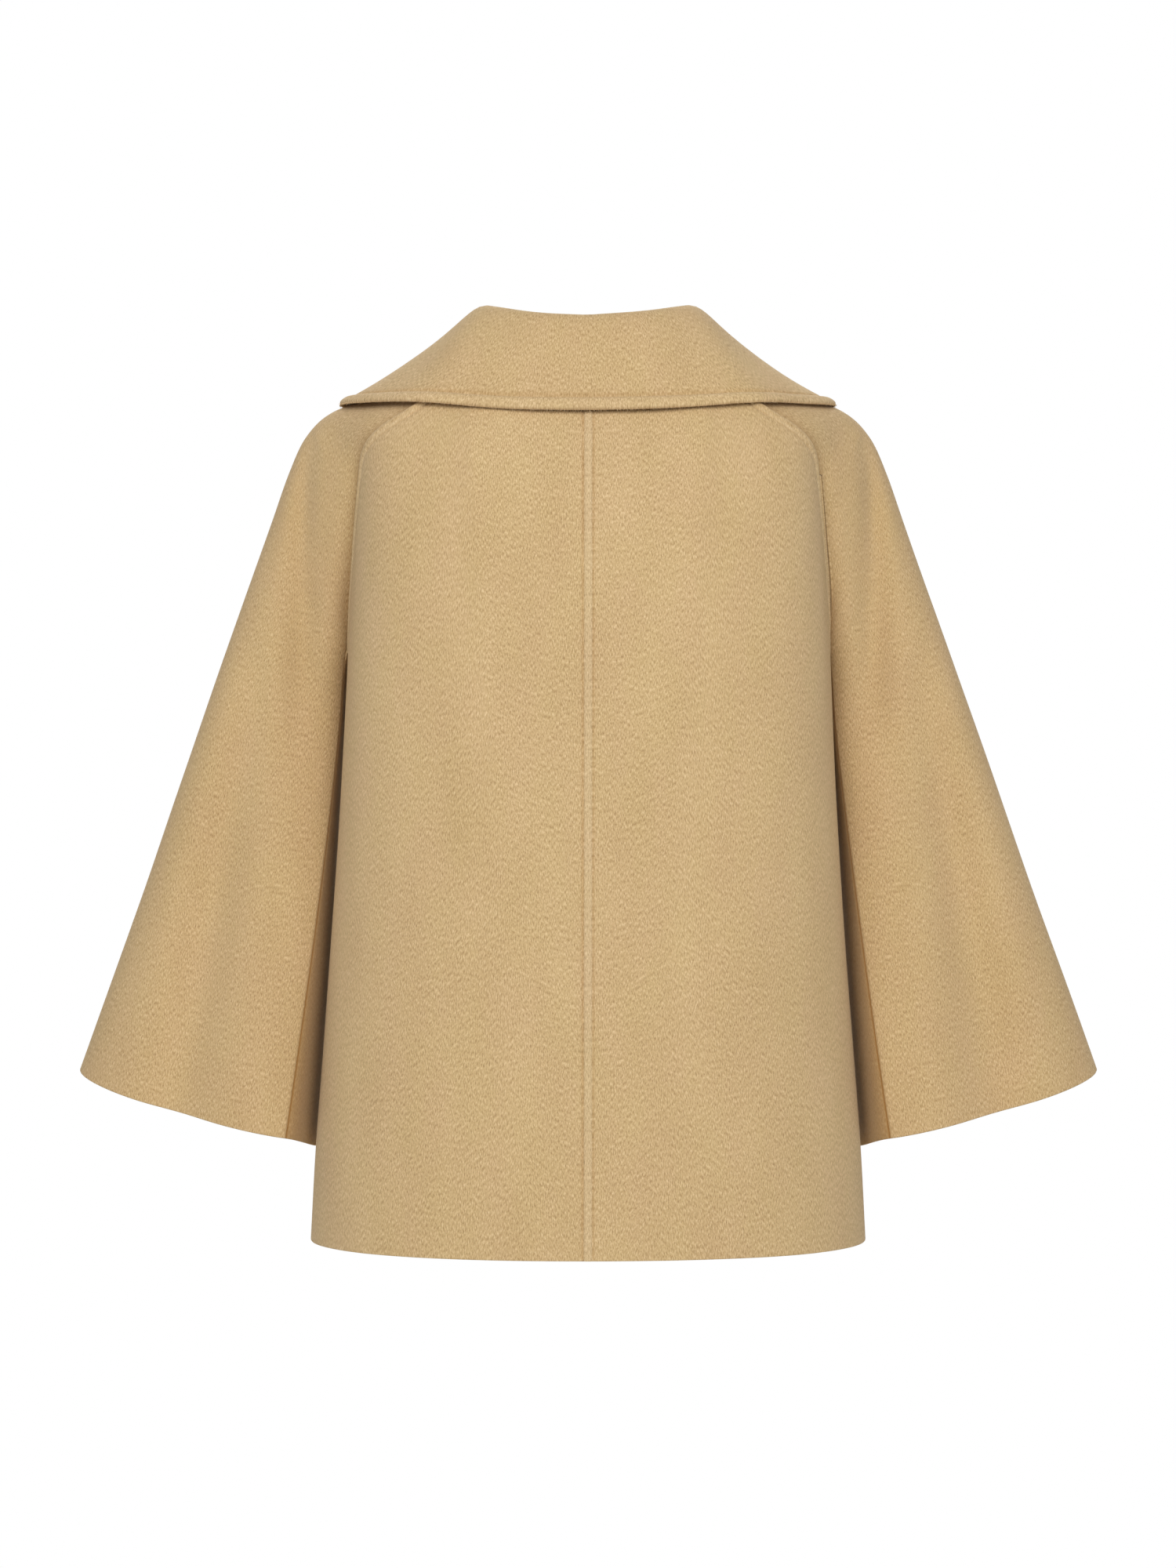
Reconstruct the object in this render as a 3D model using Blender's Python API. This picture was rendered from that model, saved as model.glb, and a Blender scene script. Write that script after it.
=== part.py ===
"""A short double-breasted swing jacket in camel double-faced wool, filled out as if worn.

Wide turned-down collar, raglan sleeves that open into bells, a plain back with a lapped
centre seam, and two fronts that cross over and close with buttons.

Metres, +Z up. The jacket faces -Y, so its back faces +Y, and the wearer's left is +X.
The origin lies between the shoulders, level with the sides of the neck.
"""

import math
from collections import namedtuple

import bpy
import numpy as np

# Cloth and seams
CLOTH = 0.0022            # double-faced wool, felted
COLLAR_CLOTH = 0.0024     # the collar is pressed a little fuller
SEAM_GAP = 0.0003         # between neighbouring pieces
WELT_WIDTH = 0.0070       # lapped centre back seam
WELT_HEIGHT = 0.0007
BAND_WIDTH = 0.0110       # turned edge of the collar
BAND_HEIGHT = 0.0009
BAND_STEP = 0.0012        # the band rises over this much

# How finely each stretch is divided
NECK_BACK_STEPS = 4
RAGLAN_STEPS = 11
ARM_STEPS = 10
SLEEVE_STEPS = 9
NECK_FRONT_STEPS = 5
OVERLAP_STEPS = 4
BODY_STEPS = 13
CLOSER_ABOVE = 1.45       # rows of the torso crowd towards the shoulders
SAMPLES = 120             # points along a curve before it is divided evenly
BUTTON_SIDES = 24

# Torso
HEM = -0.676
SIDE_TURN = 90.0          # turn of the side seam at the hem, 0 at centre back, 180 at centre front
OVERLAP = 0.075           # each front crosses the middle by this much
TOP_FRONT_LIFT = 0.0056   # the outer front rides over the inner one
LIFT_REACH = 0.125        # the lift has died away this far from the middle
LIFT_SIDE_FADE = 0.040
LIFT_NECK_FADE = 0.014
LIFT_DOWN_FADE = 0.030
COLLAR_MEET = 0.003       # half the space between the collar's two ends
FADE = 0.050              # length over which the neck's own shape melts into the torso

Ring = namedtuple("Ring", "z half_width back_depth front_depth squareness")
TORSO = [
    Ring(0.010, 0.148, 0.050, 0.044, 2.6),
    Ring(-0.012, 0.157, 0.062, 0.056, 2.8),
    Ring(-0.030, 0.167, 0.080, 0.071, 3.0),
    Ring(-0.053, 0.1750, 0.097, 0.086, 3.2),
    Ring(-0.100, 0.1765, 0.115, 0.104, 3.4),
    Ring(-0.149, 0.1790, 0.1235, 0.118, 3.3),
    Ring(-0.197, 0.1820, 0.1270, 0.127, 3.1),
    Ring(-0.245, 0.1840, 0.1295, 0.131, 3.0),
    Ring(-0.341, 0.1890, 0.1330, 0.134, 2.8),
    Ring(-0.437, 0.1955, 0.1365, 0.137, 2.6),
    Ring(-0.533, 0.2025, 0.1400, 0.141, 2.45),
    Ring(-0.605, 0.2080, 0.1425, 0.1435, 2.35),
    Ring(HEM, 0.2118, 0.1450, 0.1460, 2.25),
]

# Neck seam, from centre back round to centre front, and the raglan seams drawn on the torso
NeckPoint = namedtuple("NeckPoint", "x y z")
NECK_BACK = [
    NeckPoint(-WELT_WIDTH / 2, 0.0620, -0.0120),
    NeckPoint(WELT_WIDTH / 2, 0.0620, -0.0120),
    NeckPoint(0.036, 0.0570, -0.0095),
    NeckPoint(0.062, 0.0420, -0.0040),
]
NECK_SIDE = NeckPoint(0.078, 0.0, -0.0010)
NECK_FRONT = [
    NeckPoint(0.066, -0.0460, -0.0100),
    NeckPoint(0.046, -0.0670, -0.0290),
    NeckPoint(0.024, -0.0765, -0.0405),
    NeckPoint(COLLAR_MEET, -0.0805, -0.0450),
]
OVERLAP_CORNER_Z = -0.062

SeamPoint = namedtuple("SeamPoint", "z turn")
RAGLAN_BACK = [
    SeamPoint(-0.022, 33.0),
    SeamPoint(-0.049, 43.6),
    SeamPoint(-0.081, 62.0),
    SeamPoint(-0.120, 68.5),
    SeamPoint(-0.170, 76.0),
]
RAGLAN_FRONT = [
    SeamPoint(-0.035, 148.0),
    SeamPoint(-0.066, 140.0),
    SeamPoint(-0.105, 129.0),
    SeamPoint(-0.150, 119.0),
    SeamPoint(-0.195, 107.0),
]
UNDERARM = SeamPoint(-0.225, 86.0)

# Sleeve: `along` is 0 at the neck, 1 at the underarm and 2 at the hem. The handles steer each
# section as it leaves the seam; the crowns say how fully it rolls over the arm.
Arm = namedtuple("Arm", "along overarm back_handle front_handle back_crown front_crown")
ARM = [
    Arm(0.00, NECK_SIDE, (0.003, -0.012, 0.001), (0.003, 0.012, 0.003), 0.012, 0.012),
    Arm(0.17, (0.1180, 0.002, -0.0160), (0.004, -0.018, 0.006), (0.004, 0.020, 0.012), 0.022, 0.022),
    Arm(0.34, (0.1600, 0.002, -0.0315), (0.008, -0.020, 0.010), (0.010, 0.022, 0.018), 0.026, 0.028),
    Arm(0.50, (0.1945, 0.000, -0.0435), (0.014, -0.016, 0.012), (0.016, 0.008, 0.022), 0.026, 0.034),
    Arm(0.67, (0.2150, -0.002, -0.0620), (0.016, -0.006, 0.012), (0.018, -0.010, 0.018), 0.030, 0.040),
    Arm(0.84, (0.2285, -0.004, -0.0900), (0.014, 0.010, 0.010), (0.012, -0.026, 0.010), 0.036, 0.048),
    Arm(1.00, (0.2426, -0.005, -0.1300), (0.018, 0.027, 0.004), (0.020, -0.026, 0.004), 0.040, 0.056),
    Arm(1.20, (0.2690, -0.007, -0.2050), (0.021, 0.033, 0.000), (0.0, -0.036, 0.004), 0.043, 0.064),
    Arm(1.40, (0.3029, -0.009, -0.3000), (0.028, 0.030, 0.000), (0.0, -0.036, 0.005), 0.046, 0.072),
    Arm(1.60, (0.3348, -0.011, -0.3900), (0.034, 0.027, 0.003), (0.0, -0.036, 0.006), 0.048, 0.080),
    Arm(1.80, (0.3650, -0.013, -0.4750), (0.038, 0.023, 0.005), (0.0, -0.036, 0.007), 0.050, 0.086),
    Arm(2.00, (0.3908, -0.015, -0.5480), (0.042, 0.019, 0.007), (0.0, -0.036, 0.007), 0.052, 0.090),
]
# Below the underarm the sleeve closes at its under seam, and its flank hangs beside the torso
Under = namedtuple("Under", "along seam flank_x flank_y")
UNDER_ARM = [
    Under(1.06, (0.1854, 0.004, -0.241), 0.1848, -0.022),
    Under(1.20, (0.1885, -0.002, -0.280), 0.1872, -0.048),
    Under(1.40, (0.1970, 0.012, -0.363), 0.1930, -0.055),
    Under(1.60, (0.2070, 0.025, -0.445), 0.1975, -0.062),
    Under(1.80, (0.2175, 0.036, -0.525), 0.2035, -0.068),
    Under(2.00, (0.2275, 0.045, -0.596), 0.2085, -0.074),
]
HEM_RISE = 0.19           # a sleeve section climbs this much for each metre towards the front
FLANK_DROP = 0.12         # but beside the body it sinks this much for each metre
FLANK_LEAVE = 0.35        # share of the way that it runs straight from the under seam
SEAM_ROLL = 0.38          # towards the hem the cloth rolls over the under seam instead
FLANK_ROUNDING = 5.0      # how far the flank's turn reaches back towards the under seam

# Soft troughs in the back of the sleeve: `place` counts across from seam 0 to overarm 1
Fold = namedtuple("Fold", "begins ends place_begin place_end width depth")
SLEEVE_FOLDS = [
    Fold(0.72, 1.58, 0.32, 0.38, 0.12, 0.0085),
    Fold(1.18, 2.20, 0.62, 0.40, 0.13, 0.0105),
]
FOLD_END = 0.7            # how bluntly a trough begins and ends
FOLD_MARGIN = 0.15        # the troughs leave this share clear beside each seam

# Collar: `around` is 0 at centre back, 1 at the back raglan seam, 2 at the side of the neck,
# 3 at the front raglan seam and 4 at centre front. Points lie on its hidden face. `handle` is the
# share of the fall that runs straight to its edge, and `sag` is how far it dips on the way.
CollarCut = namedtuple("CollarCut", "around roll edge handle sag")
COLLAR = [
    CollarCut(0.00, (0.000, 0.0680, 0.0195), (0.000, 0.1020, -0.0530), 0.33, 0.0030),
    CollarCut(0.58, (0.041, 0.0610, 0.0232), (0.064, 0.0985, -0.0510), 0.33, 0.0030),
    CollarCut(1.00, (0.069, 0.0430, 0.0290), (0.124, 0.0840, -0.0460), 0.40, 0.0050),
    CollarCut(1.40, (0.0777, 0.0264, 0.0317), (0.162, 0.0515, -0.0430), 0.55, 0.0085),
    CollarCut(1.75, (0.078, 0.0100, 0.0312), (0.184, 0.0220, -0.0412), 0.62, 0.0080),
    CollarCut(2.25, (0.077, -0.0200, 0.0250), (0.187, -0.0180, -0.0415), 0.62, 0.0080),
    CollarCut(3.00, (0.072, -0.0510, 0.0070), (0.163, -0.0720, -0.0655), 0.40, 0.0020),
    CollarCut(3.50, (0.051, -0.0775, -0.0165), (0.110, -0.1130, -0.1065), 0.34, 0.0000),
    CollarCut(4.00, (0.006, -0.0920, -0.0360), (0.034, -0.1270, -0.1360), 0.33, 0.0030),
]
ROLL_FULLNESS = 0.014     # handle of the fall where it leaves the roll line
STAND_FULLNESS = 0.40     # share of the stand's height that rises straight
STAND_TURN = 0.28         # share of its height over which it turns to the roll line
STAND_STEPS = 3
FALL_STEPS = 5

# Buttons
BUTTON_RADIUS = 0.0140
BUTTON_THICK = 0.0042
SHANK_RADIUS = 0.0030
SHANK_RISE = 0.0014
BUTTON_SEAT_SPAN = 0.004  # the cloth's lean under a button is taken this far to each side
BUTTON_CREASE = 40.0      # steps of its form that turn by more degrees look sharp
BUTTON_X = 0.0520
BUTTON_ROWS = {"top": -0.180, "middle": -0.300, "lower": -0.420}

# A button's form from its back round the rim to the dish: shares of its radius and thickness
ButtonStep = namedtuple("ButtonStep", "radius height")
BUTTON_FORM = [
    ButtonStep(0.86, 0.00),
    ButtonStep(1.00, 0.40),
    ButtonStep(0.95, 0.90),
    ButtonStep(0.84, 1.00),
    ButtonStep(0.70, 0.76),
]

Finish = namedtuple("Finish", "name colour roughness")
WOOL = Finish("camel_wool", (0.56, 0.40, 0.22), 0.92)
HORN = Finish("brown_horn", (0.16, 0.085, 0.04), 0.32)


def clear_scene():
    for existing in list(bpy.data.objects):
        bpy.data.objects.remove(existing, do_unlink=True)


def material(finish):
    made = bpy.data.materials.new(finish.name)
    made.use_nodes = True
    shader = made.node_tree.nodes["Principled BSDF"]
    shader.inputs["Base Color"].default_value = (*finish.colour, 1.0)
    shader.inputs["Roughness"].default_value = finish.roughness
    shader.inputs["Metallic"].default_value = 0.0
    return made


# Curves and sections

def smooth(keys, values, at):
    """Values at `at` on a smooth curve through the rows of a table."""
    keys = np.asarray(keys, float)
    values = np.asarray(values, float)
    if keys[0] > keys[-1]:
        keys = keys[::-1]
        values = values[::-1]
    at = np.clip(np.asarray(at, float), keys[0], keys[-1])
    slopes = np.gradient(values, keys, axis=0)
    low = np.clip(np.searchsorted(keys, at, side="right") - 1, 0, len(keys) - 2)
    span = keys[low + 1] - keys[low]
    part = (at - keys[low]) / span
    if values.ndim > 1:
        part = part[..., None]
        span = span[..., None]
    rise = 3 * part**2 - 2 * part**3
    leave = part**3 - 2 * part**2 + part
    arrive = part**3 - part**2
    start = values[low] + leave * span * slopes[low]
    return start + rise * (values[low + 1] - values[low]) + arrive * span * slopes[low + 1]


def ease(part):
    part = np.clip(part, 0.0, 1.0)
    return part * part * (3 - 2 * part)


def spaced(curve, count):
    """`count` + 1 points at even distances along a finely drawn curve."""
    curve = np.asarray(curve, float)
    steps = np.linalg.norm(np.diff(curve, axis=0), axis=1)
    travelled = np.concatenate([[0.0], np.cumsum(steps)])
    wanted = np.linspace(0.0, travelled[-1], count + 1)
    return np.stack([np.interp(wanted, travelled, curve[:, axis]) for axis in range(3)], axis=1)


def bezier(start, leave, arrive, end):
    t = np.linspace(0.0, 1.0, SAMPLES)[:, None]
    start, leave, arrive, end = (np.asarray(p, float) for p in (start, leave, arrive, end))
    return ((1 - t) ** 3 * start + 3 * (1 - t) ** 2 * t * leave
            + 3 * (1 - t) * t**2 * arrive + t**3 * end)


def ring_sizes(z):
    heights = [ring.z for ring in TORSO]
    return smooth(heights, [ring[1:] for ring in TORSO], z)


def torso(turn, z):
    """The torso's outer surface at a turn in degrees and a height."""
    sizes = ring_sizes(z)
    half_width, back, front, squareness = (sizes[..., i] for i in range(4))
    across = np.sin(np.radians(turn))
    along = np.cos(np.radians(turn))
    reach = (np.abs(across) ** squareness + np.abs(along) ** squareness) ** (-1 / squareness)
    depth = np.where(along > 0, back, front)
    return np.stack([half_width * reach * across, depth * reach * along, z], axis=-1)


def turn_of(x, y, z):
    sizes = ring_sizes(z)
    depth = np.where(y > 0, sizes[..., 1], sizes[..., 2])
    return np.degrees(np.arctan2(x / sizes[..., 0], y / depth))


def turn_at_x(x, z):
    """Turn of the point on the front at a distance x from the middle."""
    half_width, _, front, squareness = ring_sizes(np.asarray(z, float))
    share = abs(x) / half_width
    height = (1 - share**squareness) ** (1 / squareness)
    return 180.0 - math.copysign(math.degrees(math.atan2(share, height)), x)


# Seams that pieces share

def neck_back():
    points = np.array(NECK_BACK)
    first = points[:1]
    rest = spaced(smooth(range(3), points[1:], np.linspace(0, 2, SAMPLES)), NECK_BACK_STEPS)
    return np.concatenate([first, rest])


def neck_front():
    points = np.array(NECK_FRONT)
    for point in points[1:]:
        point[1] = torso(turn_at_x(point[0], point[2]), point[2])[1]
    return spaced(smooth(range(4), points, np.linspace(0, 3, SAMPLES)), NECK_FRONT_STEPS)


def raglan(neck_point, seam_rows):
    """Seam from the neck to the underarm, with the first row at the neck point itself."""
    rows = [*seam_rows, UNDERARM]
    x, y, z = (np.asarray(value, float) for value in neck_point)
    first_turn = float(turn_of(x, y, z)) % 360
    turns = [first_turn] + [row.turn for row in rows]
    heights = [float(z)] + [row.z for row in rows]
    fine = np.linspace(0, len(turns) - 1, 2 * SAMPLES)
    fine_turns = smooth(range(len(turns)), turns, fine)
    fine_heights = smooth(range(len(heights)), heights, fine)
    curve = torso(fine_turns, fine_heights)
    start_shift = np.asarray(neck_point) - curve[0]
    travelled = np.linalg.norm(curve - curve[0], axis=1)
    curve = curve + start_shift * (np.clip(1 - travelled / FADE, 0, 1) ** 2)[:, None]
    return spaced(curve, RAGLAN_STEPS)


# Panels as grids of points: rows run down, columns run across

def torso_panel(top, hem_turns, lift=None):
    """Columns fall from each point of `top` to the hem, `hem_turns` apart there."""
    top = np.asarray(top, float)
    top_turns = turn_of(top[:, 0], top[:, 1], top[:, 2])
    top_turns = np.where(top_turns < -90, top_turns + 360, top_turns)
    shift = top - torso(top_turns, top[:, 2])
    down = np.linspace(0.0, 1.0, BODY_STEPS + 1)[:, None] ** CLOSER_ABOVE
    heights = top[None, :, 2] + (HEM - top[None, :, 2]) * down
    turns = top_turns[None, :] + (np.asarray(hem_turns)[None, :] - top_turns[None, :]) * down
    fade = np.clip(1 - (top[None, :, 2] - heights) / FADE, 0, 1) ** 2
    grid = torso(turns, heights) + shift[None, :, :] * fade[..., None]
    if lift is not None:
        grid[..., 1] -= lift(grid[..., 0], grid[..., 2], top[None, :, 2])
    return grid


def back_panel():
    top = np.concatenate([neck_back(), raglan(NECK_BACK[-1], RAGLAN_BACK)[1:]])
    half_welt = math.degrees(math.atan2(WELT_WIDTH / 2 / TORSO[-1].half_width, 1.0))
    spread = np.linspace(half_welt, SIDE_TURN, len(top) - 1)
    return torso_panel(top, np.concatenate([[-half_welt], spread]))


def top_front_lift(x, z, top_z):
    """The outer front, drawn on the wearer's left and mirrored, clears the inner one.

    The lift is whole where the fronts cross and dies away towards the raglan seam.
    """
    sideways = ease((LIFT_REACH - x) / LIFT_SIDE_FADE)
    at_top = ease((-LIFT_NECK_FADE - top_z) / LIFT_NECK_FADE) * (x < NECK_FRONT[0].x)
    below_top = ease((top_z - z) / LIFT_DOWN_FADE)
    return TOP_FRONT_LIFT * sideways * np.maximum(at_top, below_top)


def front_top_edge():
    corner_turn = turn_at_x(-OVERLAP, OVERLAP_CORNER_Z)
    neck = neck_front()[::-1]
    start = float(turn_of(*neck[0]))
    part = np.linspace(1.0, 0.0, OVERLAP_STEPS + 1)[:-1]
    turns = start + (corner_turn - start) * part
    heights = neck[0, 2] + (OVERLAP_CORNER_Z - neck[0, 2]) * part
    overlap = torso(turns, heights)
    return np.concatenate([overlap, neck, raglan(NECK_FRONT[0], RAGLAN_FRONT)[1:]])


def front_panel(lift=None):
    edge_turn = turn_at_x(-OVERLAP, HEM)
    middle_turn = turn_at_x(COLLAR_MEET, HEM)
    overlap = np.linspace(edge_turn, middle_turn, OVERLAP_STEPS + 1)[:-1]
    main = np.linspace(middle_turn, SIDE_TURN, NECK_FRONT_STEPS + RAGLAN_STEPS + 1)
    return torso_panel(front_top_edge(), np.concatenate([overlap, main]), lift)


def sleeve_rows():
    """`along` of each row of a sleeve's grid."""
    upper = np.linspace(0.0, 1.0, RAGLAN_STEPS + 1)
    lower = np.linspace(1.0, 2.0, ARM_STEPS + 1)[1:]
    return np.concatenate([upper, lower])


def arm_sizes(along):
    keys = [row.along for row in ARM]
    return {name: smooth(keys, [getattr(row, name) for row in ARM], np.asarray(along))
            for name in Arm._fields[1:]}


def under_points(along, underarm):
    """Under seam and flank of the sleeve below the underarm."""
    keys = [1.0] + [row.along for row in UNDER_ARM]
    seam = smooth(keys, [underarm, *(row.seam for row in UNDER_ARM)], np.asarray(along))
    flank_xy = [underarm[:2], *((row.flank_x, row.flank_y) for row in UNDER_ARM)]
    x, y = smooth(keys, flank_xy, np.asarray(along))
    flank = np.array([x, y, seam[2] - FLANK_DROP * (seam[1] - y) * ease((along - 1) * 2)])
    return seam, flank


def sleeve_section(along, seam_point, is_back, underarm):
    """One section from the seam to the overarm line, at even distances."""
    sizes = arm_sizes(along)
    overarm = sizes["overarm"]
    rise = HEM_RISE * ease(along)
    if is_back:
        crown = sizes["back_crown"]
        leave = seam_point + sizes["back_handle"]
        arrive = overarm + np.array([0.0, crown, -rise * crown])
        return spaced(bezier(seam_point, leave, arrive, overarm), SLEEVE_STEPS)
    crown = sizes["front_crown"]
    arrive = overarm + np.array([0.0, -crown, rise * crown])
    if along <= 1.0:
        leave = seam_point + sizes["front_handle"]
        return spaced(bezier(seam_point, leave, arrive, overarm), SLEEVE_STEPS)
    seam_point, flank = under_points(along, underarm)
    handle = sizes["front_handle"]
    rolled = ease(along - 1)
    leave = (flank - seam_point) * FLANK_LEAVE * (1 - rolled) - sizes["back_handle"] * SEAM_ROLL * rolled
    to_flank = bezier(seam_point, seam_point + leave,
                      flank - handle * np.linalg.norm(flank - seam_point) * FLANK_ROUNDING, flank)
    to_overarm = bezier(flank, flank + handle, arrive, overarm)
    return spaced(np.concatenate([to_flank[:-1], to_overarm]), SLEEVE_STEPS)


def sleeve_half(is_back):
    if is_back:
        seam = raglan(NECK_BACK[-1], RAGLAN_BACK)
    else:
        seam = raglan(NECK_FRONT[0], RAGLAN_FRONT)
    underarm = seam[-1]
    rows = []
    for index, along in enumerate(sleeve_rows()):
        point = seam[index] if along <= 1.0 else under_points(along, underarm)[0]
        rows.append(sleeve_section(along, point, is_back, underarm))
    grid = np.array(rows)
    if is_back:
        across = np.linspace(0.0, 1.0, SLEEVE_STEPS + 1)
        for index, along in enumerate(sleeve_rows()):
            grid[index, :, 1] -= fold_depth(along, across)
    return grid


def fold_depth(along, across):
    depth = np.zeros_like(across)
    for fold in SLEEVE_FOLDS:
        part = (along - fold.begins) / (fold.ends - fold.begins)
        if 0 < part < 1:
            place = fold.place_begin + (fold.place_end - fold.place_begin) * part
            strength = math.sin(math.pi * part) ** FOLD_END
            depth += fold.depth * strength * np.exp(-(((across - place) / fold.width) ** 2))
    return depth * ease(across / FOLD_MARGIN) * ease((1 - across) / FOLD_MARGIN)


def collar_section(around, seam_point, mirrored):
    """From the neck seam up the stand, over the roll line and down the fall to the edge."""
    keys = [cut.around for cut in COLLAR]
    roll = smooth(keys, [cut.roll for cut in COLLAR], np.asarray(around))
    edge = smooth(keys, [cut.edge for cut in COLLAR], np.asarray(around))
    handle = float(smooth(keys, [cut.handle for cut in COLLAR], np.asarray(around)))
    dip = float(smooth(keys, [cut.sag for cut in COLLAR], np.asarray(around)))
    if mirrored:
        roll[0] *= -1
        edge[0] *= -1
    outward = edge - roll
    outward[2] = 0.0
    outward /= np.linalg.norm(outward)
    up = np.array([0.0, 0.0, 1.0])
    height = np.linalg.norm(roll - seam_point)
    stand = bezier(seam_point, seam_point + up * height * STAND_FULLNESS,
                   roll - outward * height * STAND_TURN, roll)
    sag = -dip * np.cross(np.cross(outward, up), edge - roll) / np.linalg.norm(edge - roll)
    arrive = edge - (edge - roll) * handle + sag
    fall = bezier(roll, roll + outward * ROLL_FULLNESS, arrive, edge)
    return np.concatenate([spaced(stand, STAND_STEPS), fall_points(fall)[1:]])


def fall_points(fall):
    """The fall, divided evenly down to the edge band and then across it."""
    steps = np.linalg.norm(np.diff(fall, axis=0), axis=1)
    travelled = np.concatenate([[0.0], np.cumsum(steps)])
    length = travelled[-1]
    band = np.array([length - BAND_WIDTH - BAND_STEP, length - BAND_WIDTH, length - BAND_WIDTH / 2, length])
    wanted = np.concatenate([np.linspace(0.0, band[0], FALL_STEPS + 1)[:-1], band])
    return np.stack([np.interp(wanted, travelled, fall[:, axis]) for axis in range(3)], axis=1)


def collar_grid(panels):
    """Columns run from the wearer's right front round the back to the left front."""
    halves = []
    for side, mirrored in (("right", True), ("left", False)):
        stretches = [
            (panels["back_" + side][0, :NECK_BACK_STEPS + 2], 0.0),
            (panels["sleeve_back_" + side][0], 1.0),
            (panels["sleeve_front_" + side][0, ::-1], 2.0),
            (panels["front_" + side][0, OVERLAP_STEPS:OVERLAP_STEPS + NECK_FRONT_STEPS + 1][::-1], 3.0),
        ]
        columns = []
        for number, (points, start) in enumerate(stretches):
            share = np.linspace(0.0, 1.0, len(points))
            if number == 0:
                share = np.clip(np.abs(points[:, 0]) / NECK_BACK[-1].x, 0.0, 1.0)
            for part, point in list(zip(share, points))[0 if number == 0 else 1:]:
                columns.append(collar_section(start + part, point, mirrored))
        halves.append(columns)
    right, left = halves
    # Both halves hold the two columns of the lapped seam, so each is taken once
    return np.array(right[:0:-1] + left[1:]).transpose(1, 0, 2)


# Walls

def key(point):
    return tuple(np.round(point, 6))


def mirrored_grid(grid):
    other = grid.copy()
    other[..., 0] *= -1
    return other


def quads(rows, columns, flip):
    faces = []
    for row in range(rows - 1):
        for column in range(columns - 1):
            a = row * columns + column
            face = (a, a + 1, a + columns + 1, a + columns)
            faces.append(face[::-1] if flip else face)
    return faces


def add_normals(store, grid, flip):
    points = grid.reshape(-1, 3)
    for face in quads(*grid.shape[:2], flip):
        a, b, c, d = (points[i] for i in face)
        normal = np.cross(c - a, d - b)
        for corner in (a, b, c, d):
            store[key(corner)] = store.get(key(corner), 0.0) + normal


def rim(rows, columns):
    """Vertex numbers round the grid's edge, in order."""
    top = [column for column in range(columns)]
    right = [row * columns + columns - 1 for row in range(1, rows)]
    bottom = [(rows - 1) * columns + column for column in range(columns - 2, -1, -1)]
    left = [row * columns for row in range(rows - 2, 0, -1)]
    return top + right + bottom + left


def unit_rows(vectors):
    return vectors / np.linalg.norm(vectors, axis=1)[:, None]


def wall(name, grid, flip, normals, thickness, finish, relief=0.0, inner_relief=0.0):
    """A closed wall between the grid and its offset, drawn back by half a gap at its edge."""
    rows, columns = grid.shape[:2]
    points = grid.reshape(-1, 3).copy()
    lines = unit_rows(np.array([normals[key(point)] for point in points]))
    alone = {}
    add_normals(alone, grid, flip)
    own = unit_rows(np.array([alone[key(point)] for point in points]))
    loop = rim(rows, columns)
    drawn = points.copy()
    for index, vertex in enumerate(loop):
        before = points[loop[index - 1]]
        after = points[loop[(index + 1) % len(loop)]]
        inward = np.cross(own[vertex], after - before) * (-1 if flip else 1)
        drawn[vertex] = points[vertex] + inward / np.linalg.norm(inward) * SEAM_GAP / 2
    outer = drawn + lines * np.broadcast_to(relief, (rows, columns)).reshape(-1, 1)
    depth = thickness + np.broadcast_to(inner_relief, (rows, columns)).reshape(-1, 1)
    inner = drawn - lines * depth
    count = len(points)
    faces = quads(rows, columns, flip)
    faces += [tuple(i + count for i in face[::-1]) for face in quads(rows, columns, flip)]
    for index, vertex in enumerate(loop):
        following = loop[(index + 1) % len(loop)]
        side = (following, vertex, vertex + count, following + count)
        # Neighbouring rims are split along the same diagonal, so they never cross
        start = 1 if key(points[vertex]) < key(points[following]) else 0
        side = side[start:] + side[:start]
        for triangle in ((side[0], side[1], side[2]), (side[0], side[2], side[3])):
            faces.append(triangle[::-1] if flip else triangle)
    mesh = bpy.data.meshes.new(name)
    mesh.from_pydata([tuple(p) for p in np.concatenate([outer, inner])], [], faces)
    mesh.validate()
    mesh.materials.append(material(finish))
    mesh.shade_smooth()
    mesh.set_sharp_from_angle(angle=math.radians(50))
    piece = bpy.data.objects.new(name, mesh)
    bpy.context.scene.collection.objects.link(piece)
    return piece


def welt_relief(grid):
    """The lapped seam is the left back's first strip, raised below the neck seam."""
    relief = np.zeros(grid.shape[:2])
    relief[1:, :2] = WELT_HEIGHT
    return relief


def band_relief(grid):
    """The collar's turned edge is raised along the last rows of the fall."""
    relief = np.zeros(grid.shape[:2])
    relief[-2] = BAND_HEIGHT
    relief[-1] = BAND_HEIGHT / 2
    return relief


def button_profile():
    """Radius and height of a dished button on its thread shank, from the cloth up."""
    shank = [(SHANK_RADIUS, 0.0), (SHANK_RADIUS, SHANK_RISE)]
    return shank + [(BUTTON_RADIUS * step.radius, SHANK_RISE + BUTTON_THICK * step.height)
                    for step in BUTTON_FORM]


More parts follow.
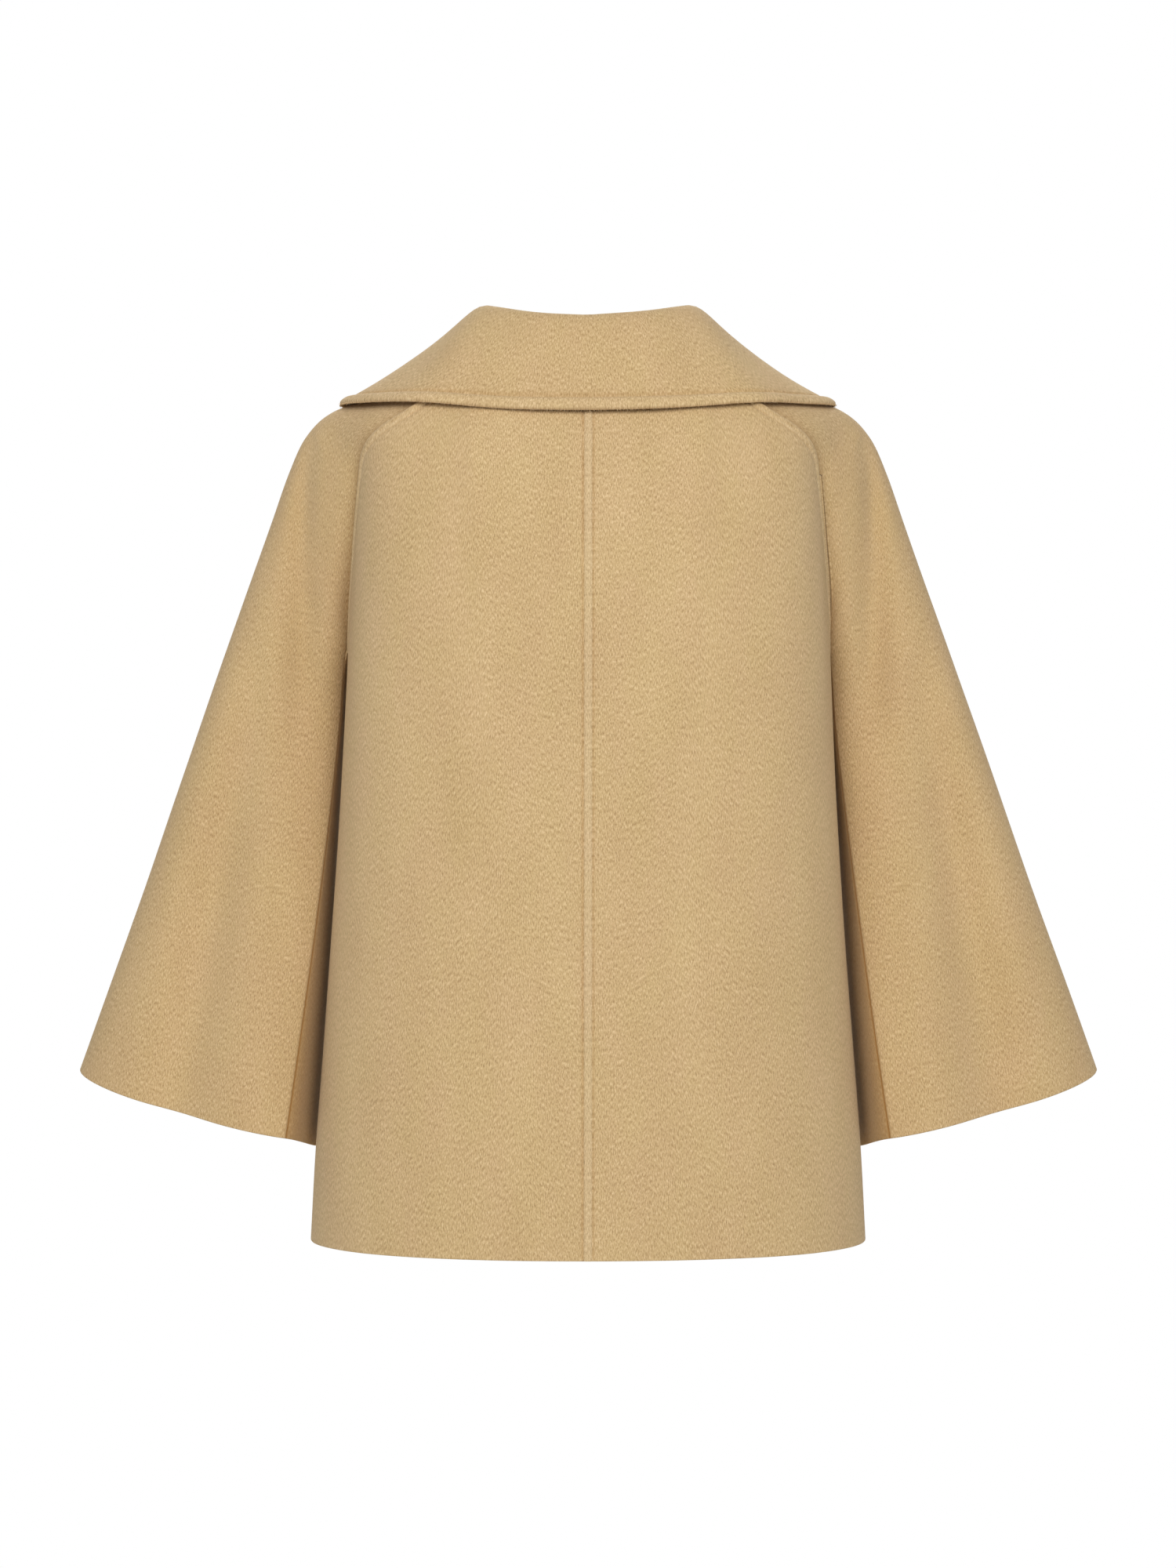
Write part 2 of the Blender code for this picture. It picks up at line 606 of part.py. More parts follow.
def button(name, x, z):
    """A turned button on the outer front, its axis square to the cloth."""
    def cloth(at_x, at_z):
        turn = turn_at_x(-at_x, at_z)
        point = torso(np.asarray(turn), np.asarray(at_z))
        point[1] -= TOP_FRONT_LIFT
        return np.array([-point[0], point[1], point[2]])

    seat = cloth(x, z)
    across = cloth(x + BUTTON_SEAT_SPAN, z) - cloth(x - BUTTON_SEAT_SPAN, z)
    upward = cloth(x, z + BUTTON_SEAT_SPAN) - cloth(x, z - BUTTON_SEAT_SPAN)
    across /= np.linalg.norm(across)
    outward = np.cross(across, upward)
    outward /= np.linalg.norm(outward)
    upward = np.cross(outward, across)
    seat = seat + outward * SEAM_GAP
    vertices = []
    for radius, height in button_profile():
        for side in range(BUTTON_SIDES):
            angle = 2 * math.pi * side / BUTTON_SIDES
            spoke = across * math.cos(angle) + upward * math.sin(angle)
            vertices.append(tuple(seat + spoke * radius + outward * height))
    levels = len(button_profile())
    faces = [tuple(range(BUTTON_SIDES))[::-1]]
    for level in range(levels - 1):
        for side in range(BUTTON_SIDES):
            a = level * BUTTON_SIDES + side
            b = level * BUTTON_SIDES + (side + 1) % BUTTON_SIDES
            faces.append((a, b, b + BUTTON_SIDES, a + BUTTON_SIDES))
    faces.append(tuple((levels - 1) * BUTTON_SIDES + side for side in range(BUTTON_SIDES)))
    mesh = bpy.data.meshes.new(name)
    mesh.from_pydata(vertices, [], faces)
    mesh.materials.append(material(HORN))
    mesh.shade_smooth()
    mesh.set_sharp_from_angle(angle=math.radians(BUTTON_CREASE))
    piece = bpy.data.objects.new(name, mesh)
    bpy.context.scene.collection.objects.link(piece)


def build():
    clear_scene()
    left = {
        "back": back_panel(),
        "front": front_panel(),
        "sleeve_back": sleeve_half(True),
        "sleeve_front": sleeve_half(False),
    }
    panels = {name + "_left": grid for name, grid in left.items()}
    panels.update({name + "_right": mirrored_grid(grid) for name, grid in left.items()})
    panels["front_right"] = mirrored_grid(front_panel(top_front_lift))
    # The lapped centre seam lies on the wearer's left back, so the right back stops at it
    panels["back_right"] = panels["back_right"][:, 1:]
    panels["back_right"][:, 0] = panels["back_left"][:, 0]
    turned_over = {"back": False, "front": True, "sleeve_back": False, "sleeve_front": True}
    flips = {}
    for name in panels:
        kind, side = name.rsplit("_", 1)
        flips[name] = turned_over[kind] != (side == "right")
    sides = dict(panels)
    sides["back_right"] = mirrored_grid(left["back"])
    panels["collar"] = collar_grid(sides)
    flips["collar"] = True
    normals = {}
    for name, grid in panels.items():
        add_normals(normals, grid, flips[name])
    for side in ("left", "right"):
        # Four pieces meet under the arm, where the fold opens straight down
        normals[key(panels["sleeve_back_" + side][RAGLAN_STEPS, 0])] = np.array([0.0, 0.0, -1.0])
    for name, grid in panels.items():
        relief = welt_relief(grid) if name == "back_left" else 0.0
        inner_relief = band_relief(grid) if name == "collar" else 0.0
        thickness = COLLAR_CLOTH if name == "collar" else CLOTH
        wall(name, grid, flips[name], normals, thickness, WOOL, relief, inner_relief)
    for row, height in BUTTON_ROWS.items():
        button("button_" + row + "_left", BUTTON_X, height)
        button("button_" + row + "_right", -BUTTON_X, height)


build()
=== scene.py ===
"""The looks of a short double-breasted swing jacket in camel double-faced wool.

Every cloth piece is drawn again on its panel's own form, finely enough for rounded edges,
seams sunk into the cloth, soft folds and the turned band of the collar. Painted light and shade
along seams, edges and bands is added to the wool's colour. Metres, in the frame's own axes.
"""

import math
from collections import namedtuple

import bpy
import numpy as np
from mathutils import Matrix, Vector, kdtree, noise


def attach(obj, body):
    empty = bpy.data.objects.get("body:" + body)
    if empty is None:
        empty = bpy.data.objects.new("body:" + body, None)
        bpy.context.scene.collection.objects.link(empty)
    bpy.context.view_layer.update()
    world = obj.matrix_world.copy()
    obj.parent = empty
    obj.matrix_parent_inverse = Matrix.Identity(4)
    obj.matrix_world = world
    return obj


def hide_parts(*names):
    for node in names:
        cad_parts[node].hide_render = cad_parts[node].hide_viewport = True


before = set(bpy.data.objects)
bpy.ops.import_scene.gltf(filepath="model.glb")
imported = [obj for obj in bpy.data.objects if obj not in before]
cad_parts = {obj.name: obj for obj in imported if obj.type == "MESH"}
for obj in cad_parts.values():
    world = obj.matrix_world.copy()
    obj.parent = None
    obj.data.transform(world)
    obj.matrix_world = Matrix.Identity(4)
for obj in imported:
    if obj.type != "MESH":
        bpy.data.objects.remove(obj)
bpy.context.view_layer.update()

# Cloth and seams
CLOTH = 0.0022
COLLAR_CLOTH = 0.0024
SEAM_GAP = 0.00008        # drawn closer than the panels' own 0.3 mm, so that no light shows through
WELT_WIDTH = 0.0070       # lapped centre back seam
WELT_HEIGHT = 0.0007
WELT_RISE = 0.010         # length below the neck over which it rises to its height
BAND_WIDTH = 0.0110       # turned edge of the collar and of the fronts
BAND_HEIGHT = 0.0019
BAND_BULGE = 0.6          # how squarely a turned edge bulges
BAND_GROOVE_DEPTH = 0.0013
BAND_GROOVE_SOFTNESS = 0.0019
FRONT_BAND_HEIGHT = 0.0008
LAP_WIDTH = 0.0064        # the back's edge laps over the sleeves at the raglan seams
LAP_HEIGHT = 0.0010
LAP_SHOULDER = 0.0012     # width over which a lap rises to its height
SEAM_DIP = 0.0007         # a pressed seam sinks into the cloth
SEAM_SOFTNESS = 0.0013
LAPPED_DIP = 0.0005       # the centre seam is lapped, so it sinks less
GROOVE_DEPTH = 0.0010     # the line pressed along the far side of a lap
GROOVE_PLACE = 0.0004     # and how far past the lap it runs
GROOVE_SOFTNESS = 0.0010
EDGE_ROUNDING = 0.46      # radius of a free edge, a share of the cloth's thickness
CLOTH_CREASE = 60.0       # faces of the cloth that turn by more degrees look sharp
CORNER_FULLNESS = 0.0013  # of the sleeve's flank, right under the arm
CORNER_REACH = 0.011
VALLEY_DEPTH = 0.0028     # below the shoulder the sleeve sinks beside the back's edge
VALLEY_WIDTH = 0.0130
VALLEY_BEGINS = 0.045     # distances along the raglan seam from the neck
VALLEY_FULL = 0.120
VALLEY_FADE = 0.040

# Painted light and shade in the wool's colour, lighter for a painted highlight and darker for painted shade
# or shadow: how strongly, how wide and where
LINE_WIDTH = 0.0008
# painted shade in the seam lines, where the stitches show faintly
SEAM_LINE_SHADE = 0.82
STITCH = 0.0042           # hand stitches show faintly in the lines at this spacing
STITCH_SHARE = 0.4        # share of a line's darkness that comes and goes with them
# painted highlight on the lapped centre band, fading over its edges
WELT_HIGHLIGHT = 0.38
WELT_HIGHLIGHT_EDGE = 0.0006
EDGE_HIGHLIGHT = 0.65         # painted highlight along both sides of the back's lap
LAP_LINE_SHARE = 0.5      # beside it runs a line of painted shade, this share of the others' darkness
LAP_LINE_PLACE = 0.0014
# painted highlight on a turned band, and painted shade in the line beside it
BAND_HIGHLIGHT = 0.20
BAND_HIGHLIGHT_FADE = 0.0030
BAND_LINE_SHADE = 0.35
BAND_LINE_PLACE = 0.0012
BAND_LINE_WIDTH = 0.0026
BAND_STRENGTH = {"collar": 1.0, "front": 0.6}
# painted shade along the sleeve's under seam, below the arm
UNDER_SEAM_SHADE = 1.90
UNDER_SEAM_FADE = 0.030
FLANK_SHADE = 1.15         # painted shade on the sleeve's flank inside the arm, where the body shades it
FLANK_REACH = 0.055
BESIDE_EDGE_SHADOW = 0.80   # painted shadow on the sleeve beside the back's edge
BESIDE_EDGE_REACH = 0.007
PIECE_SHADE = {"sleeve_back": 0.17, "sleeve_front": 0.17, "collar": 0.08}  # painted shade: sleeves and collar darker than the body

# How finely each stretch is divided
NECK_BACK_STEPS = 14
RAGLAN_STEPS = 116
ARM_STEPS = 72
SLEEVE_STEPS = 52
NECK_FRONT_STEPS = 16
OVERLAP_STEPS = 18
BODY_STEPS = 130
CLOSER_ABOVE = 1.5        # rows of the torso crowd towards the shoulders
SAMPLES = 240             # points along a curve before it is divided evenly

# Torso
HEM = -0.676
SIDE_TURN = 90.0          # turn of the side seam at the hem, 0 at centre back, 180 at centre front
OVERLAP = 0.075           # each front crosses the middle by this much
TOP_FRONT_LIFT = 0.0056   # the outer front rides over the inner one
LIFT_REACH = 0.125        # the lift has died away this far from the middle
LIFT_SIDE_FADE = 0.040
LIFT_NECK_FADE = 0.014
LIFT_DOWN_FADE = 0.030
COLLAR_MEET = 0.003       # half the space between the collar's two ends
FADE = 0.050              # length over which the neck's own shape melts into the torso

Ring = namedtuple("Ring", "z half_width back_depth front_depth squareness")
TORSO = [
    Ring(0.010, 0.148, 0.050, 0.044, 2.6),
    Ring(-0.012, 0.157, 0.062, 0.056, 2.8),
    Ring(-0.030, 0.167, 0.080, 0.071, 3.0),
    Ring(-0.053, 0.1750, 0.097, 0.086, 3.2),
    Ring(-0.100, 0.1765, 0.115, 0.104, 3.4),
    Ring(-0.149, 0.1790, 0.1235, 0.118, 3.3),
    Ring(-0.197, 0.1820, 0.1270, 0.127, 3.1),
    Ring(-0.245, 0.1840, 0.1295, 0.131, 3.0),
    Ring(-0.341, 0.1890, 0.1330, 0.134, 2.8),
    Ring(-0.437, 0.1955, 0.1365, 0.137, 2.6),
    Ring(-0.533, 0.2025, 0.1400, 0.141, 2.45),
    Ring(-0.605, 0.2080, 0.1425, 0.1435, 2.35),
    Ring(HEM, 0.2118, 0.1450, 0.1460, 2.25),
]

# Neck seam, from centre back round to centre front, and the raglan seams drawn on the torso
NeckPoint = namedtuple("NeckPoint", "x y z")
NECK_BACK = [
    NeckPoint(-WELT_WIDTH / 2, 0.0620, -0.0120),
    NeckPoint(WELT_WIDTH / 2, 0.0620, -0.0120),
    NeckPoint(0.036, 0.0570, -0.0095),
    NeckPoint(0.062, 0.0420, -0.0040),
]
NECK_SIDE = NeckPoint(0.078, 0.0, -0.0010)
NECK_FRONT = [
    NeckPoint(0.066, -0.0460, -0.0100),
    NeckPoint(0.046, -0.0670, -0.0290),
    NeckPoint(0.024, -0.0765, -0.0405),
    NeckPoint(COLLAR_MEET, -0.0805, -0.0450),
]
OVERLAP_CORNER_Z = -0.062

SeamPoint = namedtuple("SeamPoint", "z turn")
RAGLAN_BACK = [
    SeamPoint(-0.022, 33.0),
    SeamPoint(-0.049, 43.6),
    SeamPoint(-0.081, 62.0),
    SeamPoint(-0.120, 68.5),
    SeamPoint(-0.170, 76.0),
]
RAGLAN_FRONT = [
    SeamPoint(-0.035, 148.0),
    SeamPoint(-0.066, 140.0),
    SeamPoint(-0.105, 129.0),
    SeamPoint(-0.150, 119.0),
    SeamPoint(-0.195, 107.0),
]
UNDERARM = SeamPoint(-0.225, 86.0)

# Sleeve: `along` is 0 at the neck, 1 at the underarm and 2 at the hem. The handles steer each
# section as it leaves the seam; the crowns say how fully it rolls over the arm.
Arm = namedtuple("Arm", "along overarm back_handle front_handle back_crown front_crown")
ARM = [
    Arm(0.00, NECK_SIDE, (0.003, -0.012, 0.001), (0.003, 0.012, 0.003), 0.012, 0.012),
    Arm(0.17, (0.1180, 0.002, -0.0160), (0.004, -0.018, 0.006), (0.004, 0.020, 0.012), 0.022, 0.022),
    Arm(0.34, (0.1600, 0.002, -0.0315), (0.008, -0.020, 0.010), (0.010, 0.022, 0.018), 0.026, 0.028),
    Arm(0.50, (0.1945, 0.000, -0.0435), (0.014, -0.016, 0.012), (0.016, 0.008, 0.022), 0.026, 0.034),
    Arm(0.67, (0.2150, -0.002, -0.0620), (0.016, -0.006, 0.012), (0.018, -0.010, 0.018), 0.030, 0.040),
    Arm(0.84, (0.2285, -0.004, -0.0900), (0.014, 0.010, 0.010), (0.012, -0.026, 0.010), 0.036, 0.048),
    Arm(1.00, (0.2426, -0.005, -0.1300), (0.018, 0.027, 0.004), (0.020, -0.026, 0.004), 0.040, 0.056),
    Arm(1.20, (0.2690, -0.007, -0.2050), (0.021, 0.033, 0.000), (0.0, -0.036, 0.004), 0.043, 0.064),
    Arm(1.40, (0.3029, -0.009, -0.3000), (0.028, 0.030, 0.000), (0.0, -0.036, 0.005), 0.046, 0.072),
    Arm(1.60, (0.3348, -0.011, -0.3900), (0.034, 0.027, 0.003), (0.0, -0.036, 0.006), 0.048, 0.080),
    Arm(1.80, (0.3650, -0.013, -0.4750), (0.038, 0.023, 0.005), (0.0, -0.036, 0.007), 0.050, 0.086),
    Arm(2.00, (0.3908, -0.015, -0.5480), (0.042, 0.019, 0.007), (0.0, -0.036, 0.007), 0.052, 0.090),
]
# Below the underarm the sleeve closes at its under seam, and its flank hangs beside the torso
Under = namedtuple("Under", "along seam flank_x flank_y")
UNDER_ARM = [
    Under(1.06, (0.1854, 0.004, -0.241), 0.1848, -0.022),
    Under(1.20, (0.1885, -0.002, -0.280), 0.1872, -0.048),
    Under(1.40, (0.1970, 0.012, -0.363), 0.1930, -0.055),
    Under(1.60, (0.2070, 0.025, -0.445), 0.1975, -0.062),
    Under(1.80, (0.2175, 0.036, -0.525), 0.2035, -0.068),
    Under(2.00, (0.2275, 0.045, -0.596), 0.2085, -0.074),
]
HEM_RISE = 0.19           # a sleeve section climbs this much for each metre towards the front
FLANK_DROP = 0.12         # but beside the body it sinks this much for each metre
FLANK_LEAVE = 0.35        # share of the way that it runs straight from the under seam
SEAM_ROLL = 0.38          # towards the hem the cloth rolls over the under seam instead
FLANK_ROUNDING = 5.0      # how far the flank's turn reaches back towards the under seam

# Soft troughs in the back of the sleeve: `place` counts across from seam 0 to overarm 1
Fold = namedtuple("Fold", "begins ends place_begin place_end width depth")
SLEEVE_FOLDS = [
    Fold(0.72, 1.58, 0.32, 0.38, 0.12, 0.0085),
    Fold(1.18, 2.20, 0.62, 0.40, 0.13, 0.0105),
]
FOLD_END = 0.7            # how bluntly a trough begins and ends
FOLD_MARGIN = 0.15        # the troughs leave this share clear beside each seam

# Collar: `around` is 0 at centre back, 1 at the back raglan seam, 2 at the side of the neck,
# 3 at the front raglan seam and 4 at centre front. Points lie on its hidden face. `handle` is the
# share of the fall that runs straight to its edge, and `sag` is how far it dips on the way.
CollarCut = namedtuple("CollarCut", "around roll edge handle sag")
COLLAR = [
    CollarCut(0.00, (0.000, 0.0680, 0.0195), (0.000, 0.1020, -0.0530), 0.33, 0.0030),
    CollarCut(0.58, (0.041, 0.0610, 0.0232), (0.064, 0.0985, -0.0510), 0.33, 0.0030),
    CollarCut(1.00, (0.069, 0.0430, 0.0290), (0.124, 0.0840, -0.0460), 0.40, 0.0050),
    CollarCut(1.40, (0.0777, 0.0264, 0.0317), (0.162, 0.0515, -0.0430), 0.55, 0.0085),
    CollarCut(1.75, (0.078, 0.0100, 0.0312), (0.184, 0.0220, -0.0412), 0.62, 0.0080),
    CollarCut(2.25, (0.077, -0.0200, 0.0250), (0.187, -0.0180, -0.0415), 0.62, 0.0080),
    CollarCut(3.00, (0.072, -0.0510, 0.0070), (0.163, -0.0720, -0.0655), 0.40, 0.0020),
    CollarCut(3.50, (0.051, -0.0775, -0.0165), (0.110, -0.1130, -0.1065), 0.34, 0.0000),
    CollarCut(4.00, (0.006, -0.0920, -0.0360), (0.034, -0.1270, -0.1360), 0.33, 0.0030),
]
ROLL_FULLNESS = 0.014     # handle of the fall where it leaves the roll line
STAND_FULLNESS = 0.40     # share of the stand's height that rises straight
STAND_TURN = 0.28         # share of its height over which it turns to the roll line
STAND_STEPS = 14
FALL_STEPS = 26
BAND_STEPS = 14
BAND_GROOVE = 0.0040      # width of the groove beside the collar's turned edge

# Buttons
BUTTON_RADIUS = 0.0140
BUTTON_THICK = 0.0042
SHANK_RADIUS = 0.0030
SHANK_RISE = 0.0014
BUTTON_SEAT_SPAN = 0.004  # the cloth's lean under a button is taken this far to each side
BUTTON_CREASE = 40.0      # steps of its form that turn by more degrees look sharp
BUTTON_X = 0.0520
BUTTON_ROWS = {"top": -0.180, "middle": -0.300, "lower": -0.420}

# Curves and sections

def smooth(keys, values, at):
    """Values at `at` on a smooth curve through the rows of a table."""
    keys = np.asarray(keys, float)
    values = np.asarray(values, float)
    if keys[0] > keys[-1]:
        keys = keys[::-1]
        values = values[::-1]
    at = np.clip(np.asarray(at, float), keys[0], keys[-1])
    slopes = np.gradient(values, keys, axis=0)
    low = np.clip(np.searchsorted(keys, at, side="right") - 1, 0, len(keys) - 2)
    span = keys[low + 1] - keys[low]
    part = (at - keys[low]) / span
    if values.ndim > 1:
        part = part[..., None]
        span = span[..., None]
    rise = 3 * part**2 - 2 * part**3
    leave = part**3 - 2 * part**2 + part
    arrive = part**3 - part**2
    start = values[low] + leave * span * slopes[low]
    return start + rise * (values[low + 1] - values[low]) + arrive * span * slopes[low + 1]


def ease(part):
    part = np.clip(part, 0.0, 1.0)
    return part * part * (3 - 2 * part)


def peak(away, width, place=0.0):
    """1 at the distance `place`, dying away softly over `width` to each side."""
    return np.exp(-(((away - place) / width) ** 2))


def distances_along(curve):
    steps = np.linalg.norm(np.diff(curve, axis=0), axis=1)
    return np.concatenate([[0.0], np.cumsum(steps)])


def length_of(curve):
    return distances_along(curve)[-1]


def at_distances(curve, wanted):
    """Points at the wanted distances along a finely drawn curve."""
    along = distances_along(curve)
    return np.stack([np.interp(wanted, along, curve[:, axis]) for axis in range(3)], axis=1)


def spaced(curve, count):
    """`count` + 1 points at even distances along a finely drawn curve."""
    curve = np.asarray(curve, float)
    return at_distances(curve, np.linspace(0.0, length_of(curve), count + 1))


def bezier(start, leave, arrive, end):
    part = np.linspace(0.0, 1.0, SAMPLES)[:, None]
    rest = 1 - part
    start, leave, arrive, end = (np.asarray(point, float) for point in (start, leave, arrive, end))
    return (rest**3 * start + 3 * rest**2 * part * leave
            + 3 * rest * part**2 * arrive + part**3 * end)


def row_at(table, at):
    """A row of a table where its first column is `at`, between the rows that it has."""
    keys, *columns = zip(*table)
    return type(table[0])(at, *(smooth(keys, column, np.asarray(at)) for column in columns))


def ring_sizes(z):
    """Half width, depths behind and in front, and squareness of the torso at a height."""
    sizes = smooth([ring.z for ring in TORSO], [ring[1:] for ring in TORSO], z)
    return np.moveaxis(sizes, -1, 0)


def torso(turn, z):
    """The torso's outer surface at a turn in degrees and a height."""
    half_width, back, front, squareness = ring_sizes(z)
    across = np.sin(np.radians(turn))
    along = np.cos(np.radians(turn))
    reach = (np.abs(across) ** squareness + np.abs(along) ** squareness) ** (-1 / squareness)
    depth = np.where(along > 0, back, front)
    return np.stack([half_width * reach * across, depth * reach * along, z], axis=-1)


def turn_of(x, y, z):
    half_width, back, front, _ = ring_sizes(z)
    return np.degrees(np.arctan2(x / half_width, y / np.where(y > 0, back, front)))


def turn_at_x(x, z):
    """Turn of the point on the front at a distance x from the middle."""
    half_width, _, front, squareness = ring_sizes(np.asarray(z, float))
    share = abs(x) / half_width
    height = (1 - share**squareness) ** (1 / squareness)
    return 180.0 - math.copysign(math.degrees(math.atan2(share, height)), x)


# Seams that pieces share

def neck_back():
    points = np.array(NECK_BACK)
    first = points[:1]
    rest = spaced(smooth(range(3), points[1:], np.linspace(0, 2, SAMPLES)), NECK_BACK_STEPS)
    return np.concatenate([first, rest])


def neck_front():
    points = np.array(NECK_FRONT)
    for point in points[1:]:
        point[1] = torso(turn_at_x(point[0], point[2]), point[2])[1]
    return spaced(smooth(range(4), points, np.linspace(0, 3, SAMPLES)), NECK_FRONT_STEPS)


def raglan(neck_point, seam_rows):
    """Seam from the neck to the underarm, with the first row at the neck point itself."""
    rows = [*seam_rows, UNDERARM]
    x, y, z = (np.asarray(value, float) for value in neck_point)
    first_turn = float(turn_of(x, y, z)) % 360
    turns = [first_turn] + [row.turn for row in rows]
    heights = [float(z)] + [row.z for row in rows]
    fine = np.linspace(0, len(turns) - 1, 2 * SAMPLES)
    fine_turns = smooth(range(len(turns)), turns, fine)
    fine_heights = smooth(range(len(heights)), heights, fine)
    curve = torso(fine_turns, fine_heights)
    start_shift = np.asarray(neck_point) - curve[0]
    travelled = np.linalg.norm(curve - curve[0], axis=1)
    curve = curve + start_shift * (np.clip(1 - travelled / FADE, 0, 1) ** 2)[:, None]
    return spaced(curve, RAGLAN_STEPS)


# Panels as grids of points: rows run down, columns run across

def torso_panel(top, hem_turns, lift=None):
    """Columns fall from each point of `top` to the hem, `hem_turns` apart there."""
    top = np.asarray(top, float)
    top_turns = turn_of(top[:, 0], top[:, 1], top[:, 2])
    top_turns = np.where(top_turns < -90, top_turns + 360, top_turns)
    shift = top - torso(top_turns, top[:, 2])
    down = np.linspace(0.0, 1.0, BODY_STEPS + 1)[:, None] ** CLOSER_ABOVE
    heights = top[None, :, 2] + (HEM - top[None, :, 2]) * down
    turns = top_turns[None, :] + (np.asarray(hem_turns)[None, :] - top_turns[None, :]) * down
    fade = np.clip(1 - (top[None, :, 2] - heights) / FADE, 0, 1) ** 2
    grid = torso(turns, heights) + shift[None, :, :] * fade[..., None]
    if lift is not None:
        grid[..., 1] -= lift(grid[..., 0], grid[..., 2], top[None, :, 2])
    return grid


def back_panel():
    top = np.concatenate([neck_back(), raglan(NECK_BACK[-1], RAGLAN_BACK)[1:]])
    half_welt = math.degrees(math.atan2(WELT_WIDTH / 2 / TORSO[-1].half_width, 1.0))
    spread = np.linspace(half_welt, SIDE_TURN, len(top) - 1)
    return torso_panel(top, np.concatenate([[-half_welt], spread]))


def top_front_lift(x, z, top_z):
    """The outer front, drawn on the wearer's left and mirrored, clears the inner one.

    The lift is whole where the fronts cross and dies away towards the raglan seam.
    """
    sideways = ease((LIFT_REACH - x) / LIFT_SIDE_FADE)
    at_top = ease((-LIFT_NECK_FADE - top_z) / LIFT_NECK_FADE) * (x < NECK_FRONT[0].x)
    below_top = ease((top_z - z) / LIFT_DOWN_FADE)
    return TOP_FRONT_LIFT * sideways * np.maximum(at_top, below_top)


def front_top_edge():
    corner_turn = turn_at_x(-OVERLAP, OVERLAP_CORNER_Z)
    neck = neck_front()[::-1]
    start = float(turn_of(*neck[0]))
    part = np.linspace(1.0, 0.0, OVERLAP_STEPS + 1)[:-1]
    turns = start + (corner_turn - start) * part
    heights = neck[0, 2] + (OVERLAP_CORNER_Z - neck[0, 2]) * part
    overlap = torso(turns, heights)
    return np.concatenate([overlap, neck, raglan(NECK_FRONT[0], RAGLAN_FRONT)[1:]])


def front_panel(lift=None):
    edge_turn = turn_at_x(-OVERLAP, HEM)
    middle_turn = turn_at_x(COLLAR_MEET, HEM)
    overlap = np.linspace(edge_turn, middle_turn, OVERLAP_STEPS + 1)[:-1]
    main = np.linspace(middle_turn, SIDE_TURN, NECK_FRONT_STEPS + RAGLAN_STEPS + 1)
    return torso_panel(front_top_edge(), np.concatenate([overlap, main]), lift)


def sleeve_rows():
    """`along` of each row of a sleeve's grid."""
    upper = np.linspace(0.0, 1.0, RAGLAN_STEPS + 1)
    lower = np.linspace(1.0, 2.0, ARM_STEPS + 1)[1:]
    return np.concatenate([upper, lower])


def under_points(along, underarm):
    """Under seam and flank of the sleeve below the underarm."""
    keys = [1.0] + [row.along for row in UNDER_ARM]
    seam = smooth(keys, [underarm, *(row.seam for row in UNDER_ARM)], np.asarray(along))
    flank_xy = [underarm[:2], *((row.flank_x, row.flank_y) for row in UNDER_ARM)]
    x, y = smooth(keys, flank_xy, np.asarray(along))
    flank = np.array([x, y, seam[2] - FLANK_DROP * (seam[1] - y) * ease((along - 1) * 2)])
    return seam, flank


def sleeve_section(along, seam_point, is_back, underarm):
    """One section from the seam to the overarm line, at even distances."""
    row = row_at(ARM, along)
    crown = row.back_crown if is_back else -row.front_crown
    handle = row.back_handle if is_back else row.front_handle
    arrive = row.overarm + np.array([0.0, crown, -HEM_RISE * ease(along) * crown])
    if is_back or along <= 1.0:
        return spaced(bezier(seam_point, seam_point + handle, arrive, row.overarm), SLEEVE_STEPS)
    seam_point, flank = under_points(along, underarm)
    rolled = ease(along - 1)
    leave = (flank - seam_point) * FLANK_LEAVE * (1 - rolled) - row.back_handle * SEAM_ROLL * rolled
    turn_back = handle * np.linalg.norm(flank - seam_point) * FLANK_ROUNDING
    to_flank = bezier(seam_point, seam_point + leave, flank - turn_back, flank)
    to_overarm = bezier(flank, flank + handle, arrive, row.overarm)
    return spaced(np.concatenate([to_flank[:-1], to_overarm]), SLEEVE_STEPS)


def sleeve_half(is_back):
    neck_point, seam_rows = (NECK_BACK[-1], RAGLAN_BACK) if is_back else (NECK_FRONT[0], RAGLAN_FRONT)
    seam = raglan(neck_point, seam_rows)
    underarm = seam[-1]
    rows = []
    for index, along in enumerate(sleeve_rows()):
        point = seam[index] if along <= 1.0 else under_points(along, underarm)[0]
        rows.append(sleeve_section(along, point, is_back, underarm))
    grid = np.array(rows)
    if is_back:
        grid[..., 1] -= fold_depths(SLEEVE_FOLDS)
    return grid


def fold_depths(folds):
    """Depth of the troughs at every point of a sleeve's back half."""
    across = np.linspace(0.0, 1.0, SLEEVE_STEPS + 1)
    along = sleeve_rows()[:, None]
    depth = np.zeros((len(along), len(across)))
    for fold in folds:
        part = np.clip((along - fold.begins) / (fold.ends - fold.begins), 0.0, 1.0)
        place = fold.place_begin + (fold.place_end - fold.place_begin) * part
        strength = np.maximum(np.sin(math.pi * part), 0.0) ** FOLD_END
        depth += fold.depth * strength * peak(across, fold.width, place)
    return depth * ease(across / FOLD_MARGIN) * ease((1 - across) / FOLD_MARGIN)


